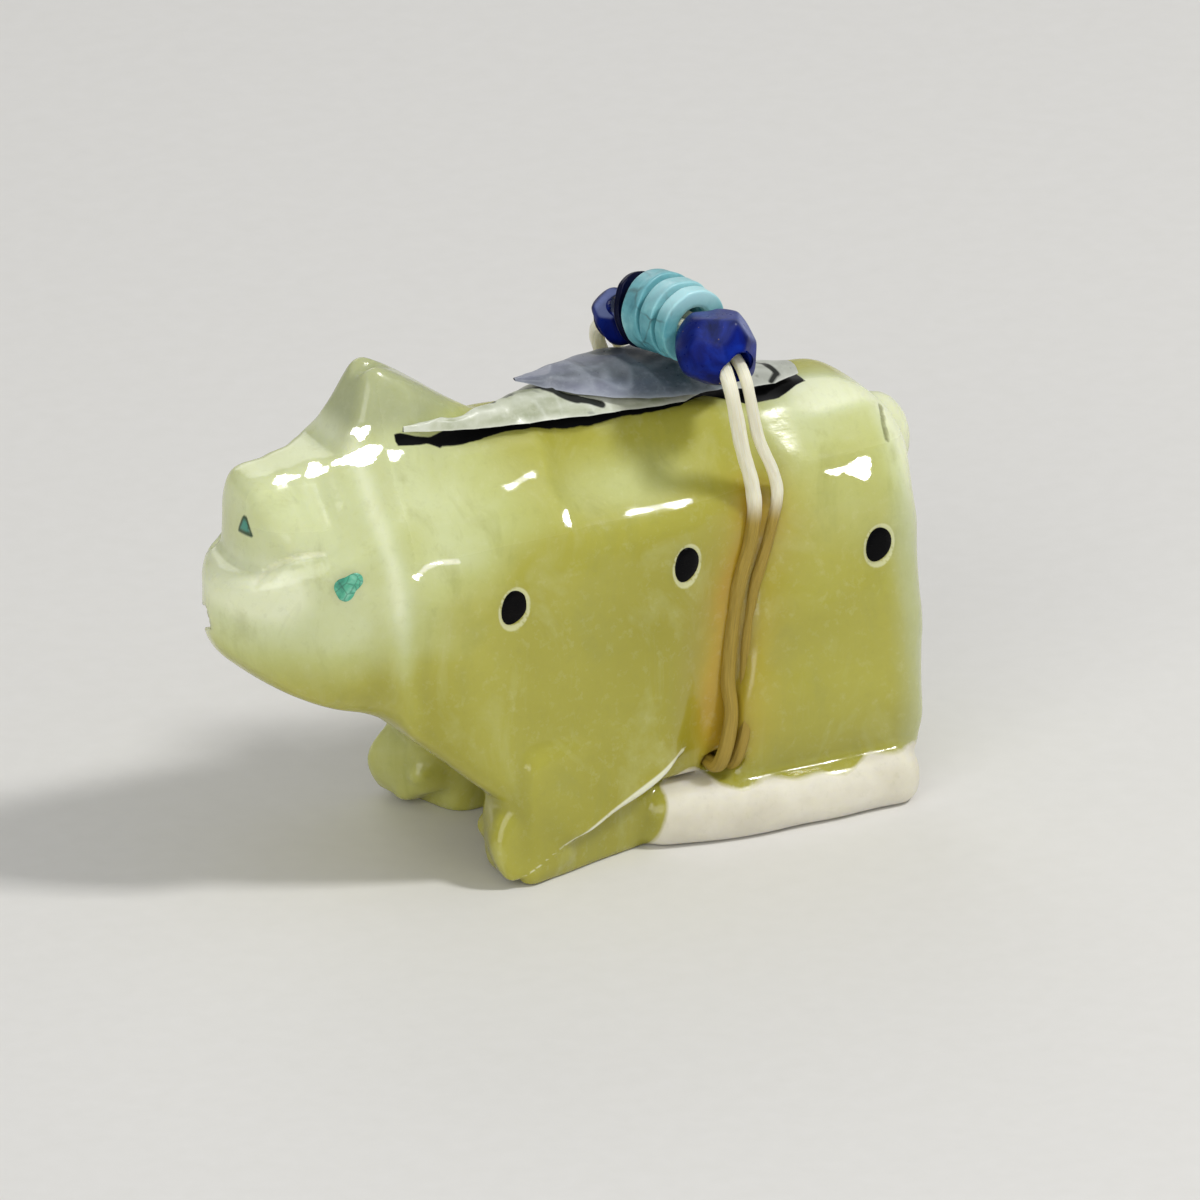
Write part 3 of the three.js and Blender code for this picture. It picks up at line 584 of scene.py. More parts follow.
def green_inlay():
    """Blue-green stone of the eyes with darker veins."""
    r = Recipe("green_inlay")
    patches = r.noise(1500, 4, 0.6, distortion=0.6)
    colour = r.ramp(patches, (0.25, "1f6b58"), (0.5, "4fae8c"), (0.75, "8fd0b4"))
    veins = r.cells(2200, "DISTANCE_TO_EDGE")
    colour = r.mix(r.span(veins, 0.0, 0.08, 0.5, 0), colour, "264a3e")
    return r.finish(Base_Color=colour, Roughness=r.span(patches, 0.3, 0.7, 0.3, 0.18), IOR=1.58,
                    Normal=r.bump(patches, 0.1, 0.00008))


def flint(name, shades, light, fleck, toward=None):
    """Flaked chert: mottled tones, pale ridges and rim that are partly wear and partly painted highlight, dark flecks,
    dark strokes that are partly a painted shadow, an underside painted near black as shade, and a waxy gloss. toward
    is a second colour that takes over along the blade."""
    r = Recipe(name)
    bands = r.noise(230, 4, 0.55, where=r.stretched(0.7, 1.4, 1.4), distortion=0.5)
    colour = r.ramp(bands, *shades)
    if toward:
        later, start, end = toward
        colour = r.mix(r.span(r.ragged("along", bands, 0.7), start, end), colour, later)
    grain = r.noise(2600, 4, 0.7)
    colour = r.mix(r.span(grain, 0.5, 0.75, 0, 0.25), colour, light)
    spots = r.noise(750, 2, 0.5)
    colour = r.mix(r.span(spots, 0.66, 0.72), colour, fleck)
    # Pale ridges and rim: partly wear and partly painted highlight.
    colour = r.mix(r.times(r.mark("ridge"), 0.55), colour, light)
    # Dark strokes: partly the upper point's painted shadow on this point.
    colour = r.mix(r.span(r.ragged("dark_stroke_mark", bands, 0.35), -0.04, 0.05), colour, "14170e")
    # Painted shade: the underside is made near black.
    colour = r.mix(r.mark("under"), colour, "0b0b08")
    shape = r.bump(grain, 0.2, 0.00008)
    return r.finish(Base_Color=colour, Roughness=r.span(grain, 0.3, 0.7, 0.25, 0.45), Normal=shape, IOR=1.54,
                    Subsurface_Weight=0.1, Subsurface_Radius=(1.0, 1.0, 0.9), Subsurface_Scale=0.0006)


def turquoise():
    """Blue-green stone with pale clouds, a dark web of matrix and a satin rub, and painted light that makes the upper
    part paler.
    """
    r = Recipe("turquoise")
    clouds = r.noise(600, 5, 0.6, distortion=0.5)
    colour = r.ramp(clouds, (0.28, "3c8390"), (0.5, "62aab2"), (0.75, "96d4d6"))
    wander = r.n("ShaderNodeTexNoise", Scale=900.0, Detail=3.0, Vector=r.place)
    small = r.n("ShaderNodeVectorMath", wander.outputs["Color"], operation="SCALE", Scale=0.0007)
    moved = r.n("ShaderNodeVectorMath", r.place, small.outputs[0], operation="ADD")
    web = r.cells(700, "DISTANCE_TO_EDGE", where=moved.outputs[0])
    lines = r.times(r.span(web, 0.0, 0.06, 1, 0), r.span(r.noise(500, 2), 0.45, 0.62))
    colour = r.mix(r.times(lines, 0.75), colour, "2c4a4a")
    # Painted light: the upper part is made paler.
    colour = r.mix(r.mark("painted_top_light"), colour, "b8e6ea")
    grain = r.noise(3500, 3, 0.6)
    return r.finish(Base_Color=colour, Roughness=r.span(grain, 0.3, 0.7, 0.3, 0.48), IOR=1.6,
                    Normal=r.bump(grain, 0.15, 0.00008), Subsurface_Weight=0.15,
                    Subsurface_Radius=(0.5, 0.9, 1.0), Subsurface_Scale=0.0004)


def lapis():
    """Deep blue stone with paler calcite clouds, small gold specks and a polish, and a painted pale sheen on the flats
    that face the light.
    """
    r = Recipe("lapis")
    clouds = r.noise(650, 5, 0.65, distortion=0.7)
    colour = r.ramp(clouds, (0.3, "01042c"), (0.5, "041872"), (0.72, "0c2f9c"), (0.9, "4a66b8"))
    colour = r.mix(r.times(r.mark("rim"), 0.5), colour, "01042c")
    # Painted sheen: the flats that face the light are made pale.
    colour = r.mix(r.times(r.mark("facet_sheen"), r.span(clouds, 0.3, 0.6, 0.6, 1.0)), colour, "8e9cd4")
    colour = r.mix(r.times(r.mark("deep"), 0.92), colour, "020416")
    speck = r.times(r.span(r.cells(2600), 0.05, 0.12, 1, 0), r.span(r.noise(900, 1), 0.55, 0.62))
    colour = r.mix(speck, colour, "b59a4e")
    grain = r.noise(3000, 3, 0.6)
    return r.finish(Base_Color=colour, Metallic=r.times(speck, 0.7), IOR=1.55,
                    Specular_IOR_Level=0.1, Roughness=r.span(grain, 0.3, 0.7, 0.25, 0.45),
                    Normal=r.bump(grain, 0.12, 0.00008))


def sinew_fibre():
    """Waxed cream sinew: long fibres along the strand, with painted shade, darker and golden, where it lies against
    the stone.
    """
    r = Recipe("sinew_fibre")
    uv = r.n("ShaderNodeTexCoord").outputs["UV"]
    fibres = r.noise(1.0, 5, 0.7, where=r.stretched(3.0, 26.0, 1.0, where=uv))
    threads = r.noise(1.0, 3, 0.6, where=r.stretched(9.0, 90.0, 1.0, where=uv))
    colour = r.ramp(fibres, (0.3, "f6edc0"), (0.5, "fffae0"), (0.7, "fffff6"))
    low = r.ramp(fibres, (0.3, "8a762a"), (0.52, "a68c34"), (0.75, "b89c42"))
    # Painted shade on the strand where it runs down the stone's side and under the belly.
    colour = r.mix(r.mark("groove_shade"), colour, low)
    shape = r.bump(fibres, 0.5, 0.00012)
    shape = r.bump(threads, 0.35, 0.00005, Normal=shape)
    return r.finish(Base_Color=colour, Roughness=r.span(threads, 0.3, 0.7, 0.38, 0.6), Normal=shape, IOR=1.48,
                    Subsurface_Weight=0.12, Subsurface_Radius=(1.0, 0.8, 0.45), Subsurface_Scale=0.0005)


# ---------------------------------------------------------------- the stone

# Outlines of the two flaked points: the near and far rim at even stations from the tip, as shares of the width.
LOWER_EDGES = np.array([
    [-0.5, -0.46], [-0.53, -0.4], [-0.52, -0.33], [-0.5, -0.16], [-0.52, 0.16], [-0.5, 0.36], [-0.53, 0.42],
    [-0.5, 0.38], [-0.51, 0.44], [-0.49, 0.4], [-0.28, 0.42], [-0.41, 0.33], [-0.4, 0.26], [-0.24, 0.12],
])
UPPER_EDGES = np.array([
    [-0.03, 0.03], [-0.2, 0.16], [-0.33, 0.27], [-0.46, 0.38], [-0.54, 0.45], [-0.58, 0.44], [-0.6, 0.5],
    [-0.58, 0.42], [-0.42, 0.34],
])
LOWER_TIP, LOWER_LENGTH, LOWER_WIDTH, LOWER_THICK = -8.2, 19.4, 4.3, 0.9
UPPER_TIP, UPPER_LENGTH, UPPER_WIDTH, UPPER_THICK = -1.65, 9.6, 4.4, 0.65
SLOPE_OF_POINTS, RESTING_GAP = 0.08, 0.1
REST_X = np.tan(SLOPE_OF_POINTS) / 0.011 - 6

# Middles of the eye and of the dark spots on the flank, along the body and up, and the lean of the spots.
EYE = (-12.1, 14.36)
SPOTS, SPOT_LEAN = ((-4.56, 12.3), (3.7, 12.5), (12.86, 11.56)), 0.32

# Pale painted highlight lines along the edges of the shoulder and the saddle.
EDGE_LINES = (
    runs_between([-8.87, 4.58, 14.43], [-8.47, 4.53, 14.74], [-7.87, 4.49, 14.83], [-6.91, 4.47, 14.67])
    + runs_between([-3.95, 3.24, 16.86], [-3.2, 3.1, 17.06], [-2.56, 2.99, 17.2])
    + runs_between([-1.67, 4.22, 15.13], [-1.48, 3.88, 15.59])
    + runs_between([1.3, 4.07, 15.0], [2.95, 4.06, 14.99], [4.3, 4.05, 14.94])
)

# Small flats that catch the light: the middle, and the half widths along the body and across it. They all face
# outward and up by the two shares below.
GROUND_FLATS = (
    ([-13.27, -1.16, 18.46], [0.66, 0.29]), ([-11.9, -1.35, 18.65], [0.5, 0.4]), ([-10.15, -2.0, 19.13], [1.15, 0.4]),
    ([-8.6, -2.1, 18.9], [0.45, 0.26]), ([-9.9, -1.62, 20.0], [0.42, 0.34]), ([-8.9, -4.58, 14.42], [0.28, 0.2]),
    ([-7.9, -4.49, 14.83], [0.5, 0.12]), ([-3.75, -3.2, 16.92], [0.35, 0.15]), ([-2.7, -3.02, 17.17], [0.3, 0.15]),
    ([-1.58, -4.05, 15.38], [0.22, 0.45]), ([1.75, -4.08, 14.98], [0.65, 0.15]), ([3.7, -4.05, 14.95], [0.65, 0.17]),
    ([12.35, -4.05, 14.78], [0.75, 0.48]), ([11.3, -4.08, 14.87], [0.7, 0.2]),
)
FACE_OUT, FACE_UP = 0.723, 0.691


def waist_x(z):
    """Line of the sinew's groove down the side."""
    return np.interp(z, [0, 5.4, 7.1, 10.6, 13.2, 15, 19], [5.3, 5.35, 5.5, 6.2, 7.25, 7.6, 7.0])


def flat_shares(points):
    """How far each point lies in each small flat of the left side, 0 to 1 over a soft rim, with the flat's outward
    direction. The flat's outline is an oval with three low waves."""
    for centre, radii in GROUND_FLATS:
        facing = np.array([0.004 - 0.0017 * centre[0], -FACE_OUT, FACE_UP])
        x, y, z = (points - centre).T
        across = FACE_UP * y + FACE_OUT * z
        wave = 1 + 0.18 * np.sin(3 * np.arctan2(across / radii[1], x / radii[0]) + 5 * centre[0])
        oval = (np.hypot(x / radii[0], across / radii[1]) - wave) * radii[1]
        near_its_plane = np.abs(facing @ (points - centre).T) < 0.9
        yield smooth_step(-oval, -0.07, 0.07) * near_its_plane, facing


def turn_flats(piece, points):
    """Turns the surface directions inside each small flat to that flat's own direction."""
    directions = np.empty(3 * len(points), np.float32)
    piece.data.vertex_normals.foreach_get("vector", directions)
    directions = directions.reshape(-1, 3)
    for share, facing in flat_shares(points):
        directions = directions + share[:, None] * (facing - directions)
    piece.data.normals_split_custom_set_from_vertices(unit(directions).tolist())


def paleness(x, y, z):
    """Tone of the stone from olive at 0 to cream at 1: a pale head and a darker body, and zones that add or take. The
    bell on the saddle is painted light where the bundle's shadow falls, the zone on the left of the rump's top is a
    painted sheen, and the zone on the right forefoot is painted light.
    """
    sway = 0.5 * np.sin(0.8 * z + 0.5 * y) + 0.3 * np.sin(1.7 * x + 1.1 * z)
    pale = 0.8 - 0.54 * smooth_step(x + 0.4 * sway - 3.5 * smooth_step(z, 12, 16), -11.5, -3.5)
    # The bell about x 2 and z 15.8 is painted light on the saddle, where the bundle's shadow falls.
    pale = pale - 0.26 * bell(x, 3.4, 3.6) * bell(z, 9, 7) + 0.43 * bell(x, 2, 3.6) * bell(z, 15.8, 1.5)
    for amount, *steps in (
            (0.34, (x, 6.5, 10.5), (z, 8, 15)), (0.25, (z, 15, 18.5), (x, 5, 9)), (-0.16, (z, 7, 1)),
            (0.45, (x, 13.2, 15.2)), (0.34, (x, -12.6, -14.5), (z, 15.8, 13.6), (z, 12, 14.5)),
            # The zone with the amount 0.3 on the next line is a painted sheen on the left of the rump.
            (-0.5, (z, 12.5, 9), (x, -5, -9)), (0.3, (z, 16.6, 17.3), (x, 9.5, 11.5), (y, -0.6, -1.6)),
            # The zone with the amount 0.3 on the next line is painted light on the right forefoot.
            (-0.4, (y, -1.0, 0.6), (x, 6, 9), (z, 15, 17)), (0.3, (y, 1, 3), (z, 6.5, 4.5), (x, 1, -1))):
        pale = pale + amount * zone(*steps)
    neck_line = 0.2 * bell(x + 0.1 * (z - 12), -9.6, 0.45) * zone((z, 6, 9))
    return np.clip(pale + neck_line, 0, 1)


def stain_and_groove_shading(x, y, z):
    """Iron discolouring along the sinew, together with painted shade in the waist's groove: a strong narrow band and a
    weak wide one, each a bell across the waist's line.
    """
    way = x - waist_x(z)
    strong = bell(way + 0.15 * np.sin(1.3 * z), -0.2, 0.85)
    strong = strong * zone((z, 2.4, 4.2), (z, 15.8, 14.0), (np.abs(y), 2.0, 3.6))
    weak = bell(way, 0, 2.1) * zone((z, 2.6, 5), (z, 17, 13))
    return np.clip(0.8 * strong + 0.35 * weak, 0, 1)


def shade_under_point_inside(x, y, z):
    """Distance into the painted shade under the lower point, a near black band on the stone. It starts the distance
    back behind the near rim and reaches the distance past over the far rim."""
    stations = np.linspace(LOWER_TIP, LOWER_TIP + LOWER_LENGTH, len(LOWER_EDGES))
    near_rim, far_rim = (np.interp(x, stations, rim) * LOWER_WIDTH for rim in LOWER_EDGES.T)
    back = np.interp(x, [-8.2, -7, -6.2, -4.5, -3, 5.5, 7, 8.5, 10.5],
                     [-0.1, 0.1, 0.38, 0.45, 0.5, 0.52, 0.38, 0.08, -0.1])
    past = np.interp(x, [-8.2, -6.5, -5], [1.1, 0.6, 0.3])
    lowest = np.interp(x, [-8.6, -7, -6, -5], [19.24, 19.02, 18.5, 16.9])
    highest = back_height(x) + np.interp(x, [-8.2, -6.8], [0.84, 0.35])
    limits = [y - near_rim - back, far_rim + past - y, x + 8.5, 11.4 - x, z - lowest, highest - z]
    return np.min(limits, axis=0)


def far_eye_inside(x, y, z):
    """Distance into the small three-sided dark mark on the front of the brow."""
    slant = np.abs(y + 0.88) * 1.05 + 0.5 * np.maximum(z - 16.6, -0.3)
    return np.where(x < -14.0, 0.36 - np.maximum(slant, np.abs(z - 16.62) * 0.82), -1.0)


def halo_inside(x, z):
    """Distance into the pale ring round the nearest spot, a leaning oval."""
    ring = []
    for place, height in SPOTS:
        u, v = x - place - SPOT_LEAN * (z - height), z - height + SPOT_LEAN * (x - place)
        ring.append(np.abs(np.hypot(u / 0.6, v / 0.76) - 1.12 - 0.12 * (u - v)))
    return 0.17 - np.min(ring, axis=0)


def to_line(x, outward, z, line):
    """Distance to the nearest run of a line."""
    return np.min([rod(x, outward, z, low, high, 0.0) for low, high in line], axis=0)


def stone_marks(p):
    """Marks that the stone's material reads at each point. pale, dull, grey and the iron discolouring with the
    groove's painted shade are shares from 0 to 1, and the others are distances in mm into the marked areas. Among
    these, the marks under the lower point and along the fold and the tail's line are painted shade, and the pale lines
    along edges are painted highlights."""
    x, y, z = p.T
    wavy = 0.12 * np.sin(1.1 * x) + 0.08 * np.sin(2.7 * x + 1)
    white_top = 2.3 + wavy + 1.1 * bell(x, 3.9, 0.9)
    lip = np.interp(x, [-2.8, -1.0, 0.5, 2.4, 3.2, 3.7], [0.02, 0.13, 0.21, 0.25, 0.2, -0.1])
    on_side = np.abs(y) > 3.6
    # Painted highlight: a pale line just above the fold on each side.
    glint_lines = np.where(on_side, lip - np.abs(fold(x, z) + 0.12), -1.0)
    # Painted shade: a dark line just below the fold on each side.
    crease_shade = np.where(on_side, 0.5 * lip - np.abs(fold(x, z) - 0.07), -1.0)
    # Painted highlight lines along the cheek line and, on the left side, along the edge lines.
    cheek, edges = 0.13 - to_line(x, np.abs(y), z, CHEEK_LINE), 0.11 - to_line(x, -y, z, EDGE_LINES)
    saddle = zone((z, 14.7, 15.0), (x, -9.2, -8.6), (x, 9.5, 8))
    hips = zone((z, 15.2, 15.7), (x, 9, 10.5))
    brow = zone((z, 16.4, 17.0), (z, 18.3, 18.1), (x, -11.9, -12.4))
    in_flat = np.max([share for share, _ in flat_shares(p)], axis=0)
    return {
        "pale": paleness(x, y, z),
        # Iron discolouring with painted shade in the waist's groove.
        "stain_and_groove_shade": stain_and_groove_shading(x, y, z),
        "white": np.minimum(white_top - z, x - 1.9 - 0.3 * z),
        # Painted shade under the lower point.
        "shade_under_point": shade_under_point_inside(x, y, z),
        "far_eye": far_eye_inside(x, y, z),
        "glint_lines": np.max([glint_lines, cheek, edges], axis=0),
        # Painted shade along the fold and along the line at the tail.
        "crease_shade": np.maximum(crease_shade, 0.16 - to_line(x, -y, z, TAIL_LINE)),
        "halo": halo_inside(x, z),
        "dull": np.max([saddle, hips, brow], axis=0) * (1 - in_flat) * zone((y, -0.6, -1.4)),
        "grey": np.maximum(zone((z, 19.3, 20.6)), 0.6 * zone((x, 12.8, 14.2), (z, 15, 12))),
    }


stone_points, stone_quads = skin(animal, (-17.2, -7.0, -0.8), (17.8, 7.0, 23.0), FINE)
carved_stone = new_piece("carved_stone", stone_points, stone_quads, serpentine(), "stone_body",
                         marks=stone_marks(stone_points))
turn_flats(carved_stone, stone_points)


# ---------------------------------------------------------------- inlays

def inlay(name, node, slot, material, x, z, side, width, height, uneven, lean):
    """Polished plug: rings of an oval laid on the stone's surface, domed as 1 - share to the power 4 and tucked in at
    the rim. The oval's radius varies as 1 + uneven (sin 2t + sin 3t) / 2, and its top leans to the tail by the given
    angle."""
    proud, deep = 0.05, 0.75
    seat = settle([x, side * 5, z])
    normal = slope(masses, seat)[1][0]
    upright = square_to(normal, UP)
    forward = np.cross(upright, normal)
    around = all_round(56)
    inner = np.linspace(0.06, 0.92, 12)
    share = np.concatenate([inner, [0.97, 1.0, 1.0, 0.98]])
    rise = np.concatenate([proud * (1 - inner ** 4), [0.01, -0.04, -0.3, -deep]])
    lobes = 1 + uneven * 0.5 * (np.sin(2 * around + 0.7) + np.sin(3 * around + 2.0 + side))
    u = share[:, None] * width / 2 * lobes * np.cos(around)
    v = share[:, None] * height / 2 * lobes * np.sin(around)
    u, v = turned(u, v, lean * side)
    flat = seat + u[..., None] * forward + v[..., None] * upright
    lie = settle(flat.reshape(-1, 3)).reshape(flat.shape) + rise[:, None, None] * normal
    rows, columns = share.size, around.size
    top = settle(seat)[0] + proud * normal
    bottom = seat[0] - deep * normal
    points = np.vstack([lie.reshape(-1, 3), top, bottom])
    j, last = np.arange(columns), (rows - 1) * columns
    after = (j + 1) % columns
    cap = np.stack([0 * j + rows * columns, j, after], axis=1)
    base = np.stack([0 * j + rows * columns + 1, last + after, last + j], axis=1)
    faces = [*grid_faces(rows, columns, close_columns=True), *cap, *base]
    new_piece(name, points, faces, material, node)


jet_finish, eye_finish = jet(), green_inlay()
for side, word in ((-1, "left"), (1, "right")):
    inlay(f"inlay_eye_{word}", f"eye_{word}", "eye", eye_finish, *EYE, side,
          width=1.2, height=1.2, uneven=0.3, lean=0.4)
    for place, spot in zip(("front", "middle", "rear"), SPOTS):
        inlay(f"inlay_{place}_{word}", f"spot_{place}_{word}", "jet", jet_finish, *spot, side,
              width=1.16, height=1.52, uneven=0.08, lean=-SPOT_LEAN)


# ---------------------------------------------------------------- the flaked points

def lower_middle(x):
    """Height of the lower point's middle plane, resting on the back where the back has the same slope."""
    return back_height(REST_X) + RESTING_GAP + LOWER_THICK / 2 - np.tan(SLOPE_OF_POINTS) * (x - REST_X)


def upper_middle(x):
    """Height of the upper point's middle plane, one half of each thickness above the lower one's."""
    return lower_middle(x) + (LOWER_THICK + UPPER_THICK) / 2 + RESTING_GAP


# Dark strokes on the lower point: the two ends of a stroke, along the body and across it, and its half width. The
# strokes from -2.4 to 1.3 along the body lie under the upper point's near edge and are its painted shadow; those from
# 9.3 to 10.0 are a crack, and the rest are dark marks.
DARK_STROKES = (
    ([-1.9, 0.35], [-0.95, -0.3], 0.1), ([-0.95, -0.3], [-0.3, -0.9], 0.17), ([-0.3, -0.9], [0.4, -1.35], 0.2),
    ([0.4, -1.35], [1.3, -1.8], 0.15), ([-4.5, -0.3], [-4.1, -0.6], 0.1), ([-4.1, -0.6], [-3.6, -1.25], 0.18),
    ([-2.4, 0.2], [-1.9, -0.2], 0.06), ([9.3, 0.2], [9.8, -0.4], 0.07), ([9.8, -0.4], [10.0, -1.15], 0.13),
    ([10.0, -1.15], [9.5, -1.6], 0.09),
)


def flaked_point(name, node, material, size, edges, blunt, corner, turn, tilt, droop, dark_strokes, seed):
    """Knapped blade. Its outline is interpolated between the edge stations, with a scallop at each flake. Each face is
    the lowest of many shallow bowls, one for each flake scar, so ridges stand between them. The rim lies near the
    underside. blunt is the tip's share of the thickness, tilt leans the blade sideways and droop bends its tip
    down."""
    length, width, thick = size
    rows_per_mm, scars_per_mm, columns, scallop, ridge_width = 11, 3.2, 49, 0.05, 0.05
    chance = np.random.default_rng(seed)
    rows, count = int(length * rows_per_mm), int(length * scars_per_mm)
    t = np.linspace(0, 1, rows)
    s = np.sin(np.linspace(-1, 1, columns) * np.pi / 2)
    station = np.linspace(0, 1, len(edges))
    near, far = (np.interp(t, station, rim) * width for rim in edges.T)
    near = near + scallop * np.abs(np.sin(t * length * 2.6 + 0.8 * np.sin(t * 9)))
    far = far - scallop * np.abs(np.sin(t * length * 2.3 + 1.1 + np.sin(t * 7)))
    full = (np.minimum(1, blunt + t / 0.3) * np.minimum(1, 0.45 + 1.4 * (1 - t)))[:, None]
    u = np.broadcast_to((t * length)[:, None], (rows, columns))
    v = near[:, None] + (far - near)[:, None] * (s + 1) / 2
    halves, ridges = [], []
    rim = -0.46 * thick * full
    for face in (1, -1):
        dome = (thick / 2 * full - face * rim) * (1 - np.abs(s) ** 2.2)
        at_u = chance.uniform(0, length, count)
        at_s = chance.choice([-0.85, -0.35, 0.35, 0.85], count) + chance.uniform(-0.15, 0.15, count)
        reach_u = chance.uniform(0.7, 1.3, count)
        reach_s = chance.uniform(0.5, 0.95, count)
        depth = chance.uniform(0.06, 0.2, count)
        bowl = ((u[..., None] - at_u) / reach_u) ** 2 + ((s[None, :, None] - at_s) / reach_s) ** 2
        cut = np.sort(np.maximum(depth * (1 - bowl), 0), axis=-1)
        second, first = cut[..., -2], cut[..., -1]
        height = np.maximum(dome * (1 - 0.9 * first / thick * 2), 0.0)
        ridge = np.clip(1 - (first - second) / ridge_width, 0, 1) * np.clip(first / ridge_width, 0, 1)
        halves.append(rim + face * height + tilt * v - droop * (1 - t[:, None]) ** 2)
        ridges.append(np.maximum(ridge * 0.5, np.abs(s) ** 14))
    along, across = turned(u, v, -turn)
    along, height = turned(along, np.stack(halves), SLOPE_OF_POINTS)
    points = (np.stack(np.broadcast_arrays(along, across, height), axis=-1) + corner).reshape(-1, 3)
    top = grid_faces(rows, columns)
    under = top[:, ::-1] + rows * columns
    x, y, _ = points.T
    # Dark strokes on the top: the upper point's painted shadow, a crack and dark marks.
    strokes = [-rod(x, y, 0, [*low, 0], [*high, 0], half) for low, high, half in dark_strokes]
    dark_stroke_mark = np.max([np.full(len(points), -1.0), *strokes], axis=0)
    # The underside's mark makes it a near black painted shade.
    marks = {"ridge": np.stack(ridges).ravel(), "dark_stroke_mark": dark_stroke_mark, "under": np.repeat([0.0, 1.0], rows * columns),
             "along": np.tile(np.repeat(t, columns), 2)}
    merge_seams(new_piece(name, points, np.vstack([top, under]), material, node, marks=marks))


def merge_seams(piece):
    """Joins points that share a place, so that the two faces of a blade meet in one rim."""
    work = bmesh.new()
    work.from_mesh(piece.data)
    bmesh.ops.remove_doubles(work, verts=work.verts, dist=2e-6)
    bmesh.ops.dissolve_degenerate(work, edges=work.edges, dist=1e-7)
    work.to_mesh(piece.data)
    work.free()


pale_flint = flint("pale_flint", [(0.36, "55633a"), (0.45, "8f9670"), (0.55, "bcc0a6"), (0.68, "dfe2d2")],
                   "eceee4", "3c4028", toward=("b4b6aa", 0.6, 0.8))
grey_flint = flint("grey_flint", [(0.3, "5a6063"), (0.5, "7b7e8c"), (0.72, "a3a6b4")],
                   "b4bac2", "4a5558", toward=("36464e", 0.35, 0.75))
flaked_point("flaked_point_lower", "arrowhead_lower", pale_flint,
             (LOWER_LENGTH, LOWER_WIDTH, LOWER_THICK), LOWER_EDGES, blunt=0.3,
             corner=(LOWER_TIP, 0.0, lower_middle(LOWER_TIP)), turn=0.0, tilt=-0.03, droop=0.0, dark_strokes=DARK_STROKES,
             seed=11)
flaked_point("flaked_point_upper", "arrowhead_upper", grey_flint,
             (UPPER_LENGTH, UPPER_WIDTH, UPPER_THICK), UPPER_EDGES, blunt=0.2,
             corner=(UPPER_TIP, 0.3, upper_middle(UPPER_TIP)), turn=-0.06, tilt=0.15, droop=0.2, dark_strokes=(),
             seed=5)


# ---------------------------------------------------------------- beads and sinew

def curve_through(points, closed=False):
    """Smooth curve through the points, cubic between neighbours with tangents from the centripetal rule, in which each
    span counts as the square root of its length. Returns a function of 0..1 over the whole curve."""
    points = np.asarray(points, float)
    spans = len(points) if closed else len(points) - 1
    before, after = (points[-1], points[:2]) if closed else (2 * points[0] - points[1], 2 * points[-1] - points[-2])
    knots = np.vstack([before, points, after])

    def at(t):
        p = spans * np.asarray(t, float)
        p = p % spans if closed else np.clip(p, 0, spans)
        i = np.minimum(np.floor(p).astype(int), spans - 1)
        w = (p - i)[..., None]
        q = [knots[i + k] for k in range(4)]
        d0, d1, d2 = (np.sqrt(np.linalg.norm(q[k + 1] - q[k], axis=-1))[..., None] for k in range(3))
        m1 = ((q[1] - q[0]) / d0 - (q[2] - q[0]) / (d0 + d1) + (q[2] - q[1]) / d1) * d1
        m2 = ((q[2] - q[1]) / d1 - (q[3] - q[1]) / (d1 + d2) + (q[3] - q[2]) / d2) * d1
        a = 2 * q[1] - 2 * q[2] + m1 + m2
        b = -3 * q[1] + 3 * q[2] - 2 * m1 - m2
        return ((a * w + b) * w + m1) * w + q[1]

    return at


def by_length(curve):
    """The same curve, as a function of the length along it in place of its own parameter, and that length."""
    t = np.linspace(0, 1, 4000)
    run = np.concatenate([[0], np.cumsum(np.linalg.norm(np.diff(curve(t), axis=0), axis=1))])
    return (lambda length: curve(np.interp(length, run, t))), run[-1]


# Node, diameter, length and rounding of each bead, from the far end of the row.
BEADS = [
    ("bead_far", 2.5, 1.5, 0.25), ("bead_far_disc", 3.3, 0.3, 0.07), ("bead_turquoise_1", 3.55, 1.0, 0.18),
    ("bead_turquoise_2", 3.45, 0.8, 0.18), ("bead_turquoise_3", 3.3, 0.65, 0.18), ("bead_near", 3.6, 2.7, 0.6),
]
BEAD_GAP, STRAND, STRAND_GAP = 0.05, 0.62, 0.15
BORE, BORE_ROWS = (2 * STRAND + 3 * STRAND_GAP) / 2, 5
ROW = sum(b[2] for b in BEADS) + BEAD_GAP * (len(BEADS) - 1)

# Line of the row about its top, as shares of its length.
ROW_SHARES = np.array([
    [-0.17, 0.57, -0.245], [-0.1, 0.365, -0.08], [-0.03, 0.185, -0.018], [0, 0, 0],
    [0.025, -0.19, -0.003], [0.057, -0.385, -0.052], [0.071, -0.542, -0.125], [0.06, -0.66, -0.215],
])
ROW_X, TALLEST = 5.25, max(diameter for _, diameter, _, _ in BEADS[:-1])
ROW_TOP = np.array([ROW_X, -0.95, upper_middle(ROW_X) + UPPER_THICK / 2 + RESTING_GAP + TALLEST / 2])
row_at, row_length = by_length(curve_through(ROW_SHARES * ROW + ROW_TOP))


def row_direction(length):
    """Unit tangent of the bead line, from two points 0.01 mm apart."""
    return unit(row_at(length + 0.005) - row_at(length - 0.005))


